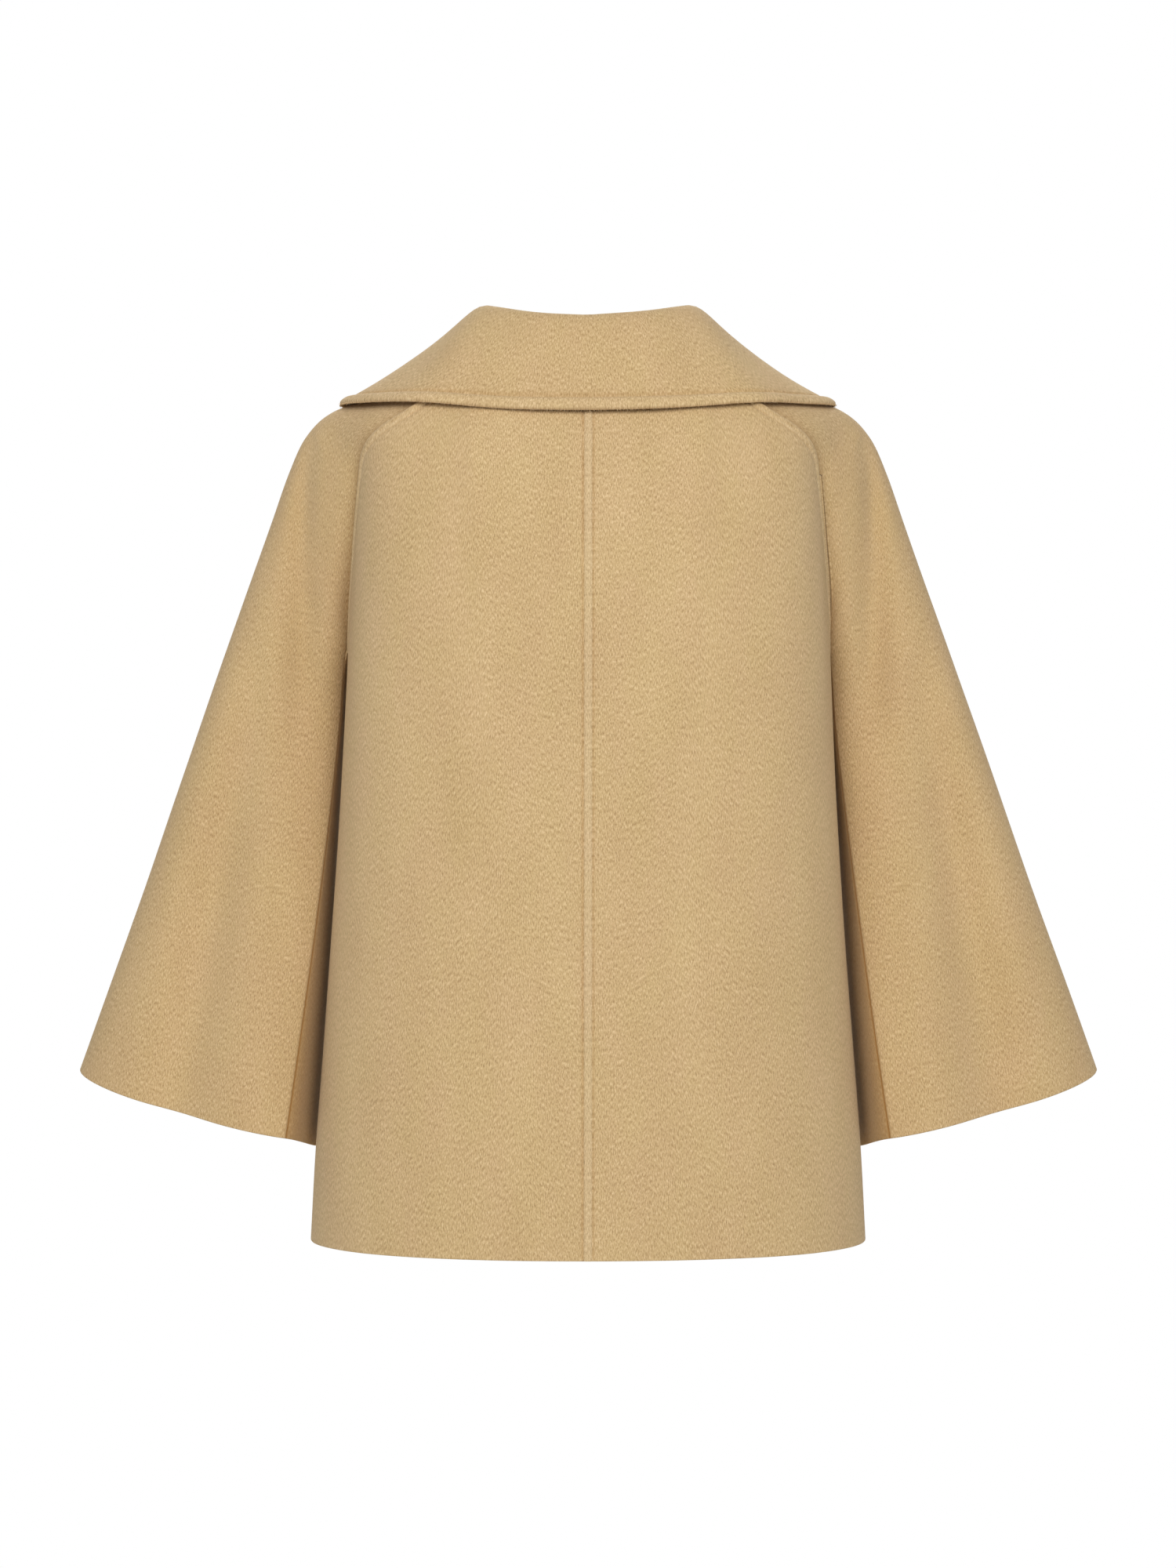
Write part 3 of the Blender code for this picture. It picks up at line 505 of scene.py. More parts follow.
def collar_section(around, seam_point, mirrored):
    """From the neck seam up the stand, over the roll line and down the fall to the edge."""
    _, roll, edge, handle, dip = row_at(COLLAR, around)
    if mirrored:
        roll[0] *= -1
        edge[0] *= -1
    outward = edge - roll
    outward[2] = 0.0
    outward /= np.linalg.norm(outward)
    up = np.array([0.0, 0.0, 1.0])
    height = np.linalg.norm(roll - seam_point)
    stand = bezier(seam_point, seam_point + up * height * STAND_FULLNESS,
                   roll - outward * height * STAND_TURN, roll)
    sag = -dip * np.cross(np.cross(outward, up), edge - roll) / np.linalg.norm(edge - roll)
    arrive = edge - (edge - roll) * handle + sag
    fall = bezier(roll, roll + outward * ROLL_FULLNESS, arrive, edge)
    return np.concatenate([spaced(stand, STAND_STEPS), fall_points(fall)[1:]])


def fall_points(fall):
    """The fall, divided evenly down to the edge band and then across it."""
    length = length_of(fall)
    band_top = length - BAND_WIDTH - BAND_GROOVE
    down_fall = np.linspace(0.0, band_top, FALL_STEPS + 1)[:-1]
    return at_distances(fall, np.concatenate([down_fall, np.linspace(band_top, length, BAND_STEPS + 1)]))


def collar_grid(panels):
    """Columns run from the wearer's right front round the back to the left front."""
    halves = []
    for side, mirrored in (("right", True), ("left", False)):
        stretches = [
            (panels["back_" + side][0, :NECK_BACK_STEPS + 2], 0.0),
            (panels["sleeve_back_" + side][0], 1.0),
            (panels["sleeve_front_" + side][0, ::-1], 2.0),
            (panels["front_" + side][0, OVERLAP_STEPS:OVERLAP_STEPS + NECK_FRONT_STEPS + 1][::-1], 3.0),
        ]
        columns = []
        for number, (points, start) in enumerate(stretches):
            share = np.linspace(0.0, 1.0, len(points))
            if number == 0:
                share = np.clip(np.abs(points[:, 0]) / NECK_BACK[-1].x, 0.0, 1.0)
            for part, point in list(zip(share, points))[0 if number == 0 else 1:]:
                columns.append(collar_section(start + part, point, mirrored))
        halves.append(columns)
    right, left = halves
    # Both halves hold the two columns of the lapped seam, so each is taken once
    return np.array(right[:0:-1] + left[1:]).transpose(1, 0, 2)


# Fine cloth: extra rows lie beside seams and free edges, closer where the panel's own rows are
SEAM_ROWS = (0.0009, 0.0019, 0.0032)
FREE_ROWS = (0.00015, 0.0005, 0.0010, 0.0020)
ROW_ROOM = 0.0036
WELT_COLUMNS = (0.05, 0.13, 0.24, 0.50, 0.76, 0.86, 0.93, 0.97)
BESIDE_WELT = (0.05, 0.12, 0.22, 0.36, 0.60)
SEAM_SAMPLE = 0.0004      # distance between the points of a seam that others are measured from
SAME_DECIMALS = 6         # points that agree to so many decimals lie at the same place
TOUCH = 1e-4              # points this close to each other touch

# Places of a grid's four edges, and which of them are free or lapped at centre back
SIDES = {"top": np.s_[0], "bottom": np.s_[-1], "first": np.s_[:, 0], "last": np.s_[:, -1]}
FREE_EDGES = {
    "back": ("bottom",),
    "front": ("bottom", "first"),
    "sleeve_back": ("bottom",),
    "sleeve_front": ("bottom",),
    "collar": ("bottom", "first", "last"),
}
LAPPED_EDGES = {"back": ("first",)}

# These deepen and widen the troughs that the panels have, and stand the upper one upright
DRAWN_FOLDS = [
    Fold(0.72, 1.58, 0.32, 0.38, 0.12, -0.0055),
    Fold(0.62, 1.34, 0.76, 0.20, 0.17, 0.0092),
    Fold(1.20, 2.30, 0.58, 0.36, 0.16, 0.0080),
]

Swell = namedtuple("Swell", "width height depth")
SWELLS = [
    Swell(0.105, 0.330, 0.0017),
    Swell(0.048, 0.120, 0.0005),
]


def key(point):
    return tuple(np.round(point, SAME_DECIMALS))


def unit(vectors):
    return vectors / np.linalg.norm(vectors, axis=-1, keepdims=True)


def mirrored_grid(grid):
    other = grid.copy()
    other[..., 0] *= -1
    return other


def own_normals(grid, flip):
    """Unit vectors square to the grid, on the side that shows."""
    face = unit(np.cross(grid[1:, 1:] - grid[:-1, :-1], grid[1:, :-1] - grid[:-1, 1:]))
    total = np.zeros_like(grid)
    total[:-1, :-1] += face
    total[1:, :-1] += face
    total[:-1, 1:] += face
    total[1:, 1:] += face
    return unit(-total if flip else total)


def border(rows, columns):
    """Places round a grid's edge, in order."""
    top = [(0, column) for column in range(columns)]
    right = [(row, columns - 1) for row in range(1, rows)]
    bottom = [(rows - 1, column) for column in range(columns - 2, -1, -1)]
    left = [(row, 0) for row in range(rows - 2, 0, -1)]
    return top + right + bottom + left


def shared_normals(panels, flips):
    """Normals of every panel, the same on both sides of each seam."""
    fields = {name: own_normals(grid, flips[name]) for name, grid in panels.items()}
    meeting = {}
    for name, grid in panels.items():
        for row, column in border(*grid.shape[:2]):
            meeting.setdefault(key(grid[row, column]), []).append((name, row, column))
    for places in meeting.values():
        total = sum(fields[name][row, column] for name, row, column in places)
        for name, row, column in places:
            fields[name][row, column] = unit(total)
    for side in ("left", "right"):
        # Four pieces meet under the arm, where the fold opens straight down
        corner = key(panels["sleeve_back_" + side][RAGLAN_STEPS, 0])
        for name, row, column in meeting[corner]:
            fields[name][row, column] = (0.0, 0.0, -1.0)
    return fields


def swell(grid):
    """Slow unevenness of soft cloth, longer down than across."""
    rise = np.zeros(grid.shape[:2])
    for each in SWELLS:
        scaled = grid / np.array([each.width, each.width, each.height])
        values = [noise.noise(Vector(point)) for point in scaled.reshape(-1, 3)]
        rise += each.depth * np.array(values).reshape(grid.shape[:2])
    return rise


def beside(sheet, steps):
    """Extra rows beside the sheet's first row, closer where its rows are close."""
    if not steps:
        return sheet
    first, second = sheet[0], sheet[1]
    length = np.linalg.norm((second - first)[:, :3], axis=1)[:, None]
    way = (second - first) / length * np.minimum(length / ROW_ROOM, 1.0)
    return np.concatenate([sheet[:1], [first + way * step for step in steps], sheet[1:]])


def turned(sheet):
    return sheet.transpose(1, 0, 2)


def edged(sheet, steps):
    """The sheet with extra rows and columns at its top, bottom, first and last edges."""
    sheet = beside(sheet, steps["top"])
    sheet = beside(sheet[::-1], steps["bottom"])[::-1]
    sheet = turned(beside(turned(sheet), steps["first"]))
    return turned(beside(turned(sheet)[::-1], steps["last"])[::-1])


def split_first_columns(sheet):
    """The lapped centre seam is one column wide, so it is divided for its own form."""
    first, second, third = sheet[:, :1], sheet[:, 1:2], sheet[:, 2:3]
    on_band = [first + (second - first) * part for part in WELT_COLUMNS]
    past_band = [second + (third - second) * part for part in BESIDE_WELT]
    return np.concatenate([first, *on_band, second, *past_band, sheet[:, 2:]], axis=1)


def run_lengths(grid):
    """Distances over the cloth from each of the four edges."""
    down = np.linalg.norm(np.diff(grid, axis=0), axis=2)
    across = np.linalg.norm(np.diff(grid, axis=1), axis=2)
    rows, columns = grid.shape[:2]
    from_top = np.concatenate([np.zeros((1, columns)), np.cumsum(down, axis=0)])
    from_first = np.concatenate([np.zeros((rows, 1)), np.cumsum(across, axis=1)], axis=1)
    return {
        "top": from_top,
        "bottom": from_top[-1:] - from_top,
        "first": from_first,
        "last": from_first[:, -1:] - from_first,
    }


def distance_from(curve, grid):
    """Shortest distance of every grid point from a seam."""
    dense = spaced(curve, int(length_of(curve) / SEAM_SAMPLE))
    tree = kdtree.KDTree(len(dense))
    for index, point in enumerate(dense):
        tree.insert(point, index)
    tree.balance()
    found = [tree.find(point)[2] for point in grid.reshape(-1, 3)]
    return np.array(found).reshape(grid.shape[:2])


def from_raglan(grid):
    """Distances from the raglan seam over a back panel."""
    on_seam = np.abs(grid[0, :, 0]) >= NECK_BACK[-1].x - TOUCH
    return distance_from(grid[0, np.argmax(on_seam):], grid)


def from_turned_edge(kind, grid):
    """Distances from the edges with a band: three of the collar's, and a front's upright one."""
    lengths = run_lengths(grid)
    if kind == "front":
        return lengths["first"]
    return np.minimum(lengths["bottom"], np.minimum(lengths["first"], lengths["last"]))


def rounding(distance, radius):
    """How far a surface drops towards a rounded edge."""
    near = np.clip(radius - distance, 0.0, radius)
    return radius - np.sqrt(np.maximum(radius**2 - near**2, 0.0))


def lap(away, width, height):
    """A flat lapped edge: full height with soft shoulders, and a groove on its far side."""
    shoulder = ease(away / LAP_SHOULDER) * ease((width - away) / LAP_SHOULDER)
    return height * shoulder - GROOVE_DEPTH * peak(away, GROOVE_SOFTNESS, width + GROOVE_PLACE)


def puffed_band(away, height):
    """A turned edge full of its own seam allowance, with a soft hand-sewn groove beside it."""
    share = np.clip(away / BAND_WIDTH, 0.0, 1.0)
    groove = BAND_GROOVE_DEPTH * height / BAND_HEIGHT * peak(away, BAND_GROOVE_SOFTNESS, BAND_WIDTH)
    return height * (4 * share * (1 - share)) ** BAND_BULGE - groove


def valley(grid):
    """How far a sleeve sinks beside the raglan seam: not at the neck, and not under the arm."""
    lengths = run_lengths(grid)
    down = lengths["top"][:, :1]
    grows = ease((down - VALLEY_BEGINS) / (VALLEY_FULL - VALLEY_BEGINS))
    ends = ease((length_of(raglan(NECK_BACK[-1], RAGLAN_BACK)) - down) / VALLEY_FADE)
    return VALLEY_DEPTH * grows * ends * peak(lengths["first"], VALLEY_WIDTH)


def corner_fullness(grid):
    """The sleeve's flank is a little fuller right under the arm, so no light shows past it."""
    corner = torso(np.asarray(UNDERARM.turn), np.asarray(UNDERARM.z))
    on_left = grid.copy()
    on_left[..., 0] = np.abs(grid[..., 0])
    away = np.linalg.norm(on_left - corner, axis=2)
    return CORNER_FULLNESS * peak(away, CORNER_REACH) * (grid[..., 2] < corner[2])


def relief(name, kind, grid, thickness):
    """Height of the outer and inner face at seams, free edges, laps and bands."""
    outer = np.zeros(grid.shape[:2])
    inner = np.zeros(grid.shape[:2])
    lengths = run_lengths(grid)
    for side, place in SIDES.items():
        if side in FREE_EDGES[kind]:
            drop = rounding(lengths[side], thickness * EDGE_ROUNDING)
            outer -= drop
            inner -= drop
        else:
            dip = LAPPED_DIP if side in LAPPED_EDGES.get(kind, ()) else SEAM_DIP
            outer -= dip * peak(distance_from(grid[place], grid), SEAM_SOFTNESS)
    if kind == "back":
        outer += lap(from_raglan(grid), LAP_WIDTH, LAP_HEIGHT)
    if name == "back_left":
        outer += ease(lengths["top"] / WELT_RISE) * lap(lengths["first"], WELT_WIDTH, WELT_HEIGHT)
    if kind == "front":
        outer += puffed_band(from_turned_edge(kind, grid), FRONT_BAND_HEIGHT)
    if kind == "collar":
        inner += puffed_band(from_turned_edge(kind, grid), BAND_HEIGHT)
    if kind == "sleeve_back":
        sunk = valley(grid)
        outer -= sunk
        inner += sunk
    if kind == "sleeve_front":
        outer += corner_fullness(grid)
    return outer, inner


def painted_light_and_shade(name, kind, grid):
    """Painted light and shade: above 0 where a highlight is painted, below 0 where shade or shadow is
    painted.
    """
    lengths = run_lengths(grid)
    from_first = lengths["first"]
    value = np.full(grid.shape[:2], -PIECE_SHADE.get(kind, 0.0))
    if name == "back_left":
        inside = ease(from_first / WELT_HIGHLIGHT_EDGE) * ease((WELT_WIDTH - from_first) / WELT_HIGHLIGHT_EDGE)
        stitches = 1 - STITCH_SHARE + STITCH_SHARE * np.sin(lengths["top"] * 2 * math.pi / STITCH)
        value += WELT_HIGHLIGHT * inside
        for place in (0.0, WELT_WIDTH + GROOVE_PLACE):
            value -= SEAM_LINE_SHADE * stitches * peak(from_first, LINE_WIDTH, place)
    if name == "back_right":
        value -= SEAM_LINE_SHADE * peak(from_first, LINE_WIDTH)
    if kind == "back":
        away = from_raglan(grid)
        value += EDGE_HIGHLIGHT * (peak(away, LINE_WIDTH) + peak(away, LINE_WIDTH, LAP_WIDTH))
        value -= SEAM_LINE_SHADE * LAP_LINE_SHARE * peak(away, LINE_WIDTH, LAP_WIDTH + LAP_LINE_PLACE)
    if kind.startswith("sleeve"):
        below = ease((UNDERARM.z - grid[:, :1, 2]) / UNDER_SEAM_FADE)
        value -= UNDER_SEAM_SHADE * below * peak(from_first, LINE_WIDTH)
        if kind == "sleeve_front":
            value -= FLANK_SHADE * below * peak(from_first, FLANK_REACH)
        else:
            grows = ease((lengths["top"][:, :1] - VALLEY_BEGINS) / VALLEY_BEGINS)
            value -= BESIDE_EDGE_SHADOW * grows * (1 - below) * peak(from_first, BESIDE_EDGE_REACH)
    if kind in BAND_STRENGTH:
        away = from_turned_edge(kind, grid)
        lighter = BAND_HIGHLIGHT * ease((BAND_WIDTH - away) / BAND_HIGHLIGHT_FADE)
        darker = BAND_LINE_SHADE * peak(away, BAND_LINE_WIDTH, BAND_WIDTH + BAND_LINE_PLACE)
        value += BAND_STRENGTH[kind] * (lighter - darker)
    return value


def cloth_mesh(name, sheet, flip, thickness, outer, inner, drawn_back):
    """A closed thin wall from a sheet of points and normals, with the cloth's own map."""
    rows, columns = sheet.shape[:2]
    grid = sheet[..., :3]
    points = grid.reshape(-1, 3)
    lines = unit(sheet[..., 3:6].reshape(-1, 3))
    own = own_normals(grid, flip).reshape(-1, 3)
    loop = np.array([row * columns + column for row, column in border(rows, columns)])
    inward = unit(np.cross(own[loop], points[np.roll(loop, -1)] - points[np.roll(loop, 1)]))
    drawn = points.copy()
    drawn[loop] += inward * (-1 if flip else 1) * drawn_back.ravel()[loop, None] * SEAM_GAP / 2
    top = drawn + lines * outer.reshape(-1, 1)
    under = drawn - lines * (thickness + inner.reshape(-1, 1))
    corner = (np.arange(rows - 1)[:, None] * columns + np.arange(columns - 1)).ravel()
    faces = np.stack([corner, corner + 1, corner + columns + 1, corner + columns], axis=1)
    count = len(points)
    rim_faces = np.stack([np.roll(loop, -1), loop, loop + count, np.roll(loop, -1) + count], axis=1)
    everything = np.concatenate([faces, faces[:, ::-1] + count, rim_faces])
    if flip:
        everything = everything[:, ::-1]
    mesh = bpy.data.meshes.new(name)
    mesh.from_pydata(np.concatenate([top, under]).tolist(), [], everything.tolist())
    lengths = run_lengths(grid)
    across = lengths["first"]
    if name.startswith("collar"):
        across = np.broadcast_to(across.mean(axis=0), across.shape)
    flat = np.stack([across, lengths["top"]], axis=-1).reshape(-1, 2)
    flat = np.concatenate([flat, flat])
    layer = mesh.uv_layers.new(name="cloth")
    layer.uv.foreach_set("vector", flat[everything.ravel()].astype(np.float32).ravel())
    mesh.shade_smooth()
    mesh.set_sharp_from_angle(angle=math.radians(CLOTH_CREASE))
    return mesh


def cloth_piece(name, grid, normals, flip, finish):
    kind = name.rsplit("_", 1)[0]
    thickness = COLLAR_CLOTH if kind == "collar" else CLOTH
    steps = {side: FREE_ROWS if side in FREE_EDGES[kind] else SEAM_ROWS for side in SIDES}
    sheet = np.concatenate([grid, normals], axis=2)
    if name == "back_left":
        sheet = split_first_columns(sheet)
        steps["first"] = ()
    sheet = edged(sheet, steps)
    fine = sheet[..., :3]
    outer, inner = relief(name, kind, fine, thickness)
    drawn_back = np.ones(fine.shape[:2])
    for side in (*FREE_EDGES[kind], *LAPPED_EDGES.get(kind, ())):
        drawn_back[SIDES[side]] = 0.0
    mesh = cloth_mesh(name + "_cloth", sheet, flip, thickness, outer, inner, drawn_back)
    # painted light and shade, put on the face that shows
    painted_shading = painted_light_and_shade(name, kind, fine).ravel()
    plain = np.zeros_like(painted_shading)
    values = (plain, painted_shading) if kind == "collar" else (painted_shading, plain)
    layer = mesh.attributes.new("painted_shading", "FLOAT", "POINT")
    layer.data.foreach_set("value", np.concatenate(values).astype(np.float32))
    mesh.materials.append(finish)
    declare(add_piece(name + "_cloth", mesh), name, fine)


def declare(piece, name, grid):
    """Hides the part that the piece replaces, and works out the flat size of its cut, which goes no
    further.
    """
    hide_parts(name)
    lengths = run_lengths(grid)
    flat = [float(lengths["first"][:, -1].max()), float(lengths["top"][-1].max())]
    if name == "collar":
        flat.sort(reverse=True)


def add_piece(name, mesh):
    piece = bpy.data.objects.new(name, mesh)
    bpy.context.scene.collection.objects.link(piece)
    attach(piece, "root")
    return piece


# Threads and fibres

def tube_faces(rings, sides):
    """Faces of a closed tube whose rings of points follow one another."""
    last = (rings - 1) * sides
    faces = [tuple(range(sides)), tuple(range(last, last + sides))[::-1]]
    for ring in range(rings - 1):
        for side in range(sides):
            here = ring * sides + side
            beyond = ring * sides + (side + 1) % sides
            faces.append((here, here + sides, beyond + sides, beyond))
    return faces


def tube(path, radius, sides):
    """Points and faces of a closed round thread along a path."""
    path = np.asarray(path, float)
    way = unit(np.gradient(path, axis=0))
    upright = np.abs(way[:, 2:]) > UPRIGHT
    side = unit(np.cross(way, np.where(upright, (1.0, 0.0, 0.0), (0.0, 0.0, 1.0))))[:, None]
    turn = np.linspace(0, 2 * math.pi, sides, endpoint=False)[:, None]
    rings = path[:, None] + radius * (side * np.cos(turn) + np.cross(way[:, None], side) * np.sin(turn))
    return rings.reshape(-1, 3), tube_faces(len(path), sides)


def joined(name, parts, finish):
    points = []
    faces = []
    for part_points, part_faces in parts:
        start = len(points)
        points.extend(map(tuple, part_points))
        faces.extend(tuple(start + index for index in face) for face in part_faces)
    mesh = bpy.data.meshes.new(name)
    mesh.from_pydata(points, [], faces)
    mesh.materials.append(finish)
    mesh.shade_smooth()
    return mesh


# Nap that stands off the collar's edge

NAP_SEED = 7
NAP_SPACING = 0.00042
NAP_THICKNESS = 0.00013
NAP_LENGTH = (0.0010, 0.0026)
NAP_ROOT = (0.0002, 0.0012)        # how far inside the edge a fibre begins
NAP_SPREAD = 0.55                  # how widely the fibres lean, and less so up and down
NAP_SPREAD_SHARES = (1.0, 1.0, 0.5)
NAP_DROOP = 0.7
NAP_SHARES = (1.0, 0.8, 0.25)      # thickness at a fibre's root, middle and tip
NAP_SIDES = 3
NAP_ACROSS = (0.3, 0.2, 1.0)       # a direction that no fibre runs in
NAP_DEPTH = 0.6                    # share of the collar's thickness that it hangs from


def nap_mesh(edge, outward, finish):
    """Short tapered fibres that hang from an edge, each one closed."""
    draw = np.random.default_rng(NAP_SEED)
    places = spaced(edge, int(length_of(edge) / NAP_SPACING))
    travelled = np.linspace(0.0, 1.0, len(edge))
    wanted = np.linspace(0.0, 1.0, len(places))
    away = unit(np.stack([np.interp(wanted, travelled, outward[:, axis]) for axis in range(3)], axis=1))
    turn = np.arange(NAP_SIDES)[:, None] * 2 * math.pi / NAP_SIDES
    faces = tube_faces(len(NAP_SHARES), NAP_SIDES)
    fibres = []
    for place, out in zip(places, away):
        length = draw.uniform(*NAP_LENGTH)
        lean = unit(out + draw.normal(0.0, NAP_SPREAD, 3) * NAP_SPREAD_SHARES)
        drooping = unit(lean + (0.0, 0.0, -NAP_DROOP))
        root = place - out * draw.uniform(*NAP_ROOT)
        middle = root + lean * length / 2
        side = unit(np.cross(lean, NAP_ACROSS))
        spokes = (side * np.cos(turn) + np.cross(lean, side) * np.sin(turn)) * NAP_THICKNESS
        path = (root, middle, middle + drooping * length / 2)
        rings = [centre + spokes * share for centre, share in zip(path, NAP_SHARES)]
        fibres.append((np.concatenate(rings), faces))
    mesh = joined("collar_nap", fibres, finish)
    mesh.shade_flat()
    return mesh


def add_collar_nap(grid, normals, finish):
    """The nap hangs from the lower edge, in the middle of the collar's thickness."""
    edge = grid[-1] - normals[-1] * (COLLAR_CLOTH * NAP_DEPTH)
    outward = unit(grid[-1] - grid[-4])
    add_piece("collar_nap", nap_mesh(edge, outward, finish))


# Wool, horn and thread: colours at the values of a fine pattern, stretched by so many waves a metre

WOOL_COLOURS = [(0.33, (0.380, 0.243, 0.110)), (0.50, (0.575, 0.402, 0.203)), (0.68, (0.780, 0.585, 0.340))]
WOOL_TINTS = [(0.35, (0.993, 1.000, 0.965)), (0.65, (1.000, 0.988, 0.992))]
# the painted highlight and the painted shade are mixed towards these colours, by these shares
WOOL_HIGHLIGHT = (0.760, 0.620, 0.420)
WOOL_SHADE = (0.300, 0.145, 0.035)
HIGHLIGHT_SHARE = 0.42
SHADE_SHARE = 0.42
FIBRES = (1350.0, 350.0, 1.0)
FIBRE_DETAIL = 1.5
FIBRE_SHARE = 0.72
STRANDS = (3200.0, 600.0, 1.0)
STRAND_DETAIL = 2.0
STRAND_SHARE = 0.28
PATCHES = (26.0, 26.0, 9.0)
PATCH_DETAIL = 3.0
PATCH_SHARE = 0.10
PATTERN_SHIFT = 0.05      # brings the patterns' sum back to the middle
DRIFT = (34.0, 34.0, 14.0)
DRIFT_DETAIL = 2.0
PATTERN_ROUGHNESS = 0.6
WOOL_BUMP = {"Strength": 0.70, "Distance": 0.0009}
WOOL_SURFACE = {
    "Roughness": 0.95,
    "Specular IOR Level": 0.12,
    "Sheen Weight": 0.26,
    "Sheen Roughness": 0.6,
    "Sheen Tint": (1.0, 0.86, 0.66, 1.0),
}

Finish = namedtuple("Finish", "name stretch detail colours roughness")
# Single fibres catch more light than the cloth they stand on
NAP_FINISH = Finish("camel_nap", (900.0, 900.0, 900.0), 1.0,
                    [(0.35, (0.480, 0.325, 0.165)), (0.65, (0.740, 0.560, 0.335))], 0.85)
# Polished brown horn has soft darker streaks
HORN_FINISH = Finish("brown_horn", (60.0, 60.0, 260.0), 5.0,
                     [(0.35, (0.030, 0.014, 0.007)), (0.68, (0.250, 0.120, 0.045))], 0.28)
# Twisted thread is a little shinier than the wool
THREAD_FINISH = Finish("camel_thread", (2600.0, 2600.0, 2600.0), 1.0,
                       [(0.30, (0.290, 0.170, 0.075)), (0.70, (0.520, 0.340, 0.170))], 0.55)


def new_material(name):
    made = bpy.data.materials.new(name)
    made.use_nodes = True
    nodes = made.node_tree.nodes
    return made, nodes, made.node_tree.links, nodes["Principled BSDF"]


def set_inputs(node, values):
    for name, value in values.items():
        node.inputs[name].default_value = value


def pattern(nodes, links, source, stretch, detail):
    scale = nodes.new("ShaderNodeVectorMath")
    scale.operation = "MULTIPLY"
    scale.inputs[1].default_value = stretch
    links.new(source, scale.inputs[0])
    waves = nodes.new("ShaderNodeTexNoise")
    set_inputs(waves, {"Scale": 1.0, "Detail": detail, "Roughness": PATTERN_ROUGHNESS})
    links.new(scale.outputs[0], waves.inputs["Vector"])
    return waves.outputs["Fac"]


def blended(nodes, links, operation, *values):
    node = nodes.new("ShaderNodeMath")
    node.operation = operation
    for index, value in enumerate(values):
        if isinstance(value, float):
            node.inputs[index].default_value = value
        else:
            links.new(value, node.inputs[index])
    return node.outputs[0]


def coloured(nodes, links, source, stops):
    """Colours that a pattern's value runs through, from the first stop to the last."""
    ramp = nodes.new("ShaderNodeValToRGB")
    elements = ramp.color_ramp.elements
    for element, (position, colour) in zip(elements, (stops[0], stops[-1])):
        element.position = position
        element.color = (*colour, 1.0)
    for position, colour in stops[1:-1]:
        elements.new(position).color = (*colour, 1.0)
    links.new(source, ramp.inputs["Fac"])
    return ramp.outputs["Color"]


def mixed(nodes, links, share, first, second):
    """A colour blended towards a plain one; shares outside 0 to 1 are held there."""
    node = nodes.new("ShaderNodeMix")
    node.data_type = "RGBA"
    node.clamp_factor = True
    links.new(share, node.inputs["Factor"])
    links.new(first, node.inputs["A"])
    node.inputs["B"].default_value = (*second, 1.0)
    return node.outputs["Result"]


def multiplied(nodes, links, first, second):
    node = nodes.new("ShaderNodeMix")
    node.data_type = "RGBA"
    node.blend_type = "MULTIPLY"
    node.inputs["Factor"].default_value = 1.0
    links.new(first, node.inputs["A"])
    links.new(second, node.inputs["B"])
    return node.outputs["Result"]


def wool_material():
    """Felted double-faced wool: short fibres that run down the cloth, and a soft nap."""
    made, nodes, links, shader = new_material("camel_wool")
    cloth_map = nodes.new("ShaderNodeUVMap")
    cloth_map.uv_map = "cloth"
    cloth = cloth_map.outputs[0]
    place = nodes.new("ShaderNodeTexCoord").outputs["Object"]
    fibres = pattern(nodes, links, cloth, FIBRES, FIBRE_DETAIL)
    strands = pattern(nodes, links, cloth, STRANDS, STRAND_DETAIL)
    patches = pattern(nodes, links, place, PATCHES, PATCH_DETAIL)
    fine_part = blended(nodes, links, "MULTIPLY", strands, STRAND_SHARE)
    speckle = blended(nodes, links, "MULTIPLY_ADD", fibres, FIBRE_SHARE, fine_part)
    centred = blended(nodes, links, "SUBTRACT", speckle, PATTERN_SHIFT)
    shade = blended(nodes, links, "MULTIPLY_ADD", patches, PATCH_SHARE, centred)
    drift = pattern(nodes, links, place, DRIFT, DRIFT_DETAIL)
    tint = coloured(nodes, links, drift, WOOL_TINTS)
    tinted = multiplied(nodes, links, coloured(nodes, links, shade, WOOL_COLOURS), tint)
    # painted light and shade from the mesh lightens or darkens the colour
    attribute = nodes.new("ShaderNodeAttribute")
    attribute.attribute_name = "painted_shading"
    painted_shading = attribute.outputs["Fac"]
    highlight_amount = blended(nodes, links, "MULTIPLY", painted_shading, HIGHLIGHT_SHARE)
    shade_amount = blended(nodes, links, "MULTIPLY", painted_shading, -SHADE_SHARE)
    lighter = mixed(nodes, links, highlight_amount, tinted, WOOL_HIGHLIGHT)
    links.new(mixed(nodes, links, shade_amount, lighter, WOOL_SHADE), shader.inputs["Base Color"])
    bump = nodes.new("ShaderNodeBump")
    set_inputs(bump, WOOL_BUMP)
    links.new(speckle, bump.inputs["Height"])
    links.new(bump.outputs["Normal"], shader.inputs["Normal"])
    set_inputs(shader, WOOL_SURFACE)
    return made


def patterned_material(finish):
    made, nodes, links, shader = new_material(finish.name)
    place = nodes.new("ShaderNodeTexCoord").outputs["Object"]
    waves = pattern(nodes, links, place, finish.stretch, finish.detail)
    links.new(coloured(nodes, links, waves, finish.colours), shader.inputs["Base Color"])
    set_inputs(shader, {"Roughness": finish.roughness})
    return made


# Buttons and buttonholes

HOLE_RADIUS = 0.0011
HOLE_PLACE = 0.0026
HOLE_SIDES = 20
BUTTON_SIDES = 72
RIM_ROUND = 0.075         # roundness of the rim, a share of the radius
RIM_BOW = 0.48            # half the rim's height, a share of the thickness
RIM_ANGLES = range(-70, 71, 14)
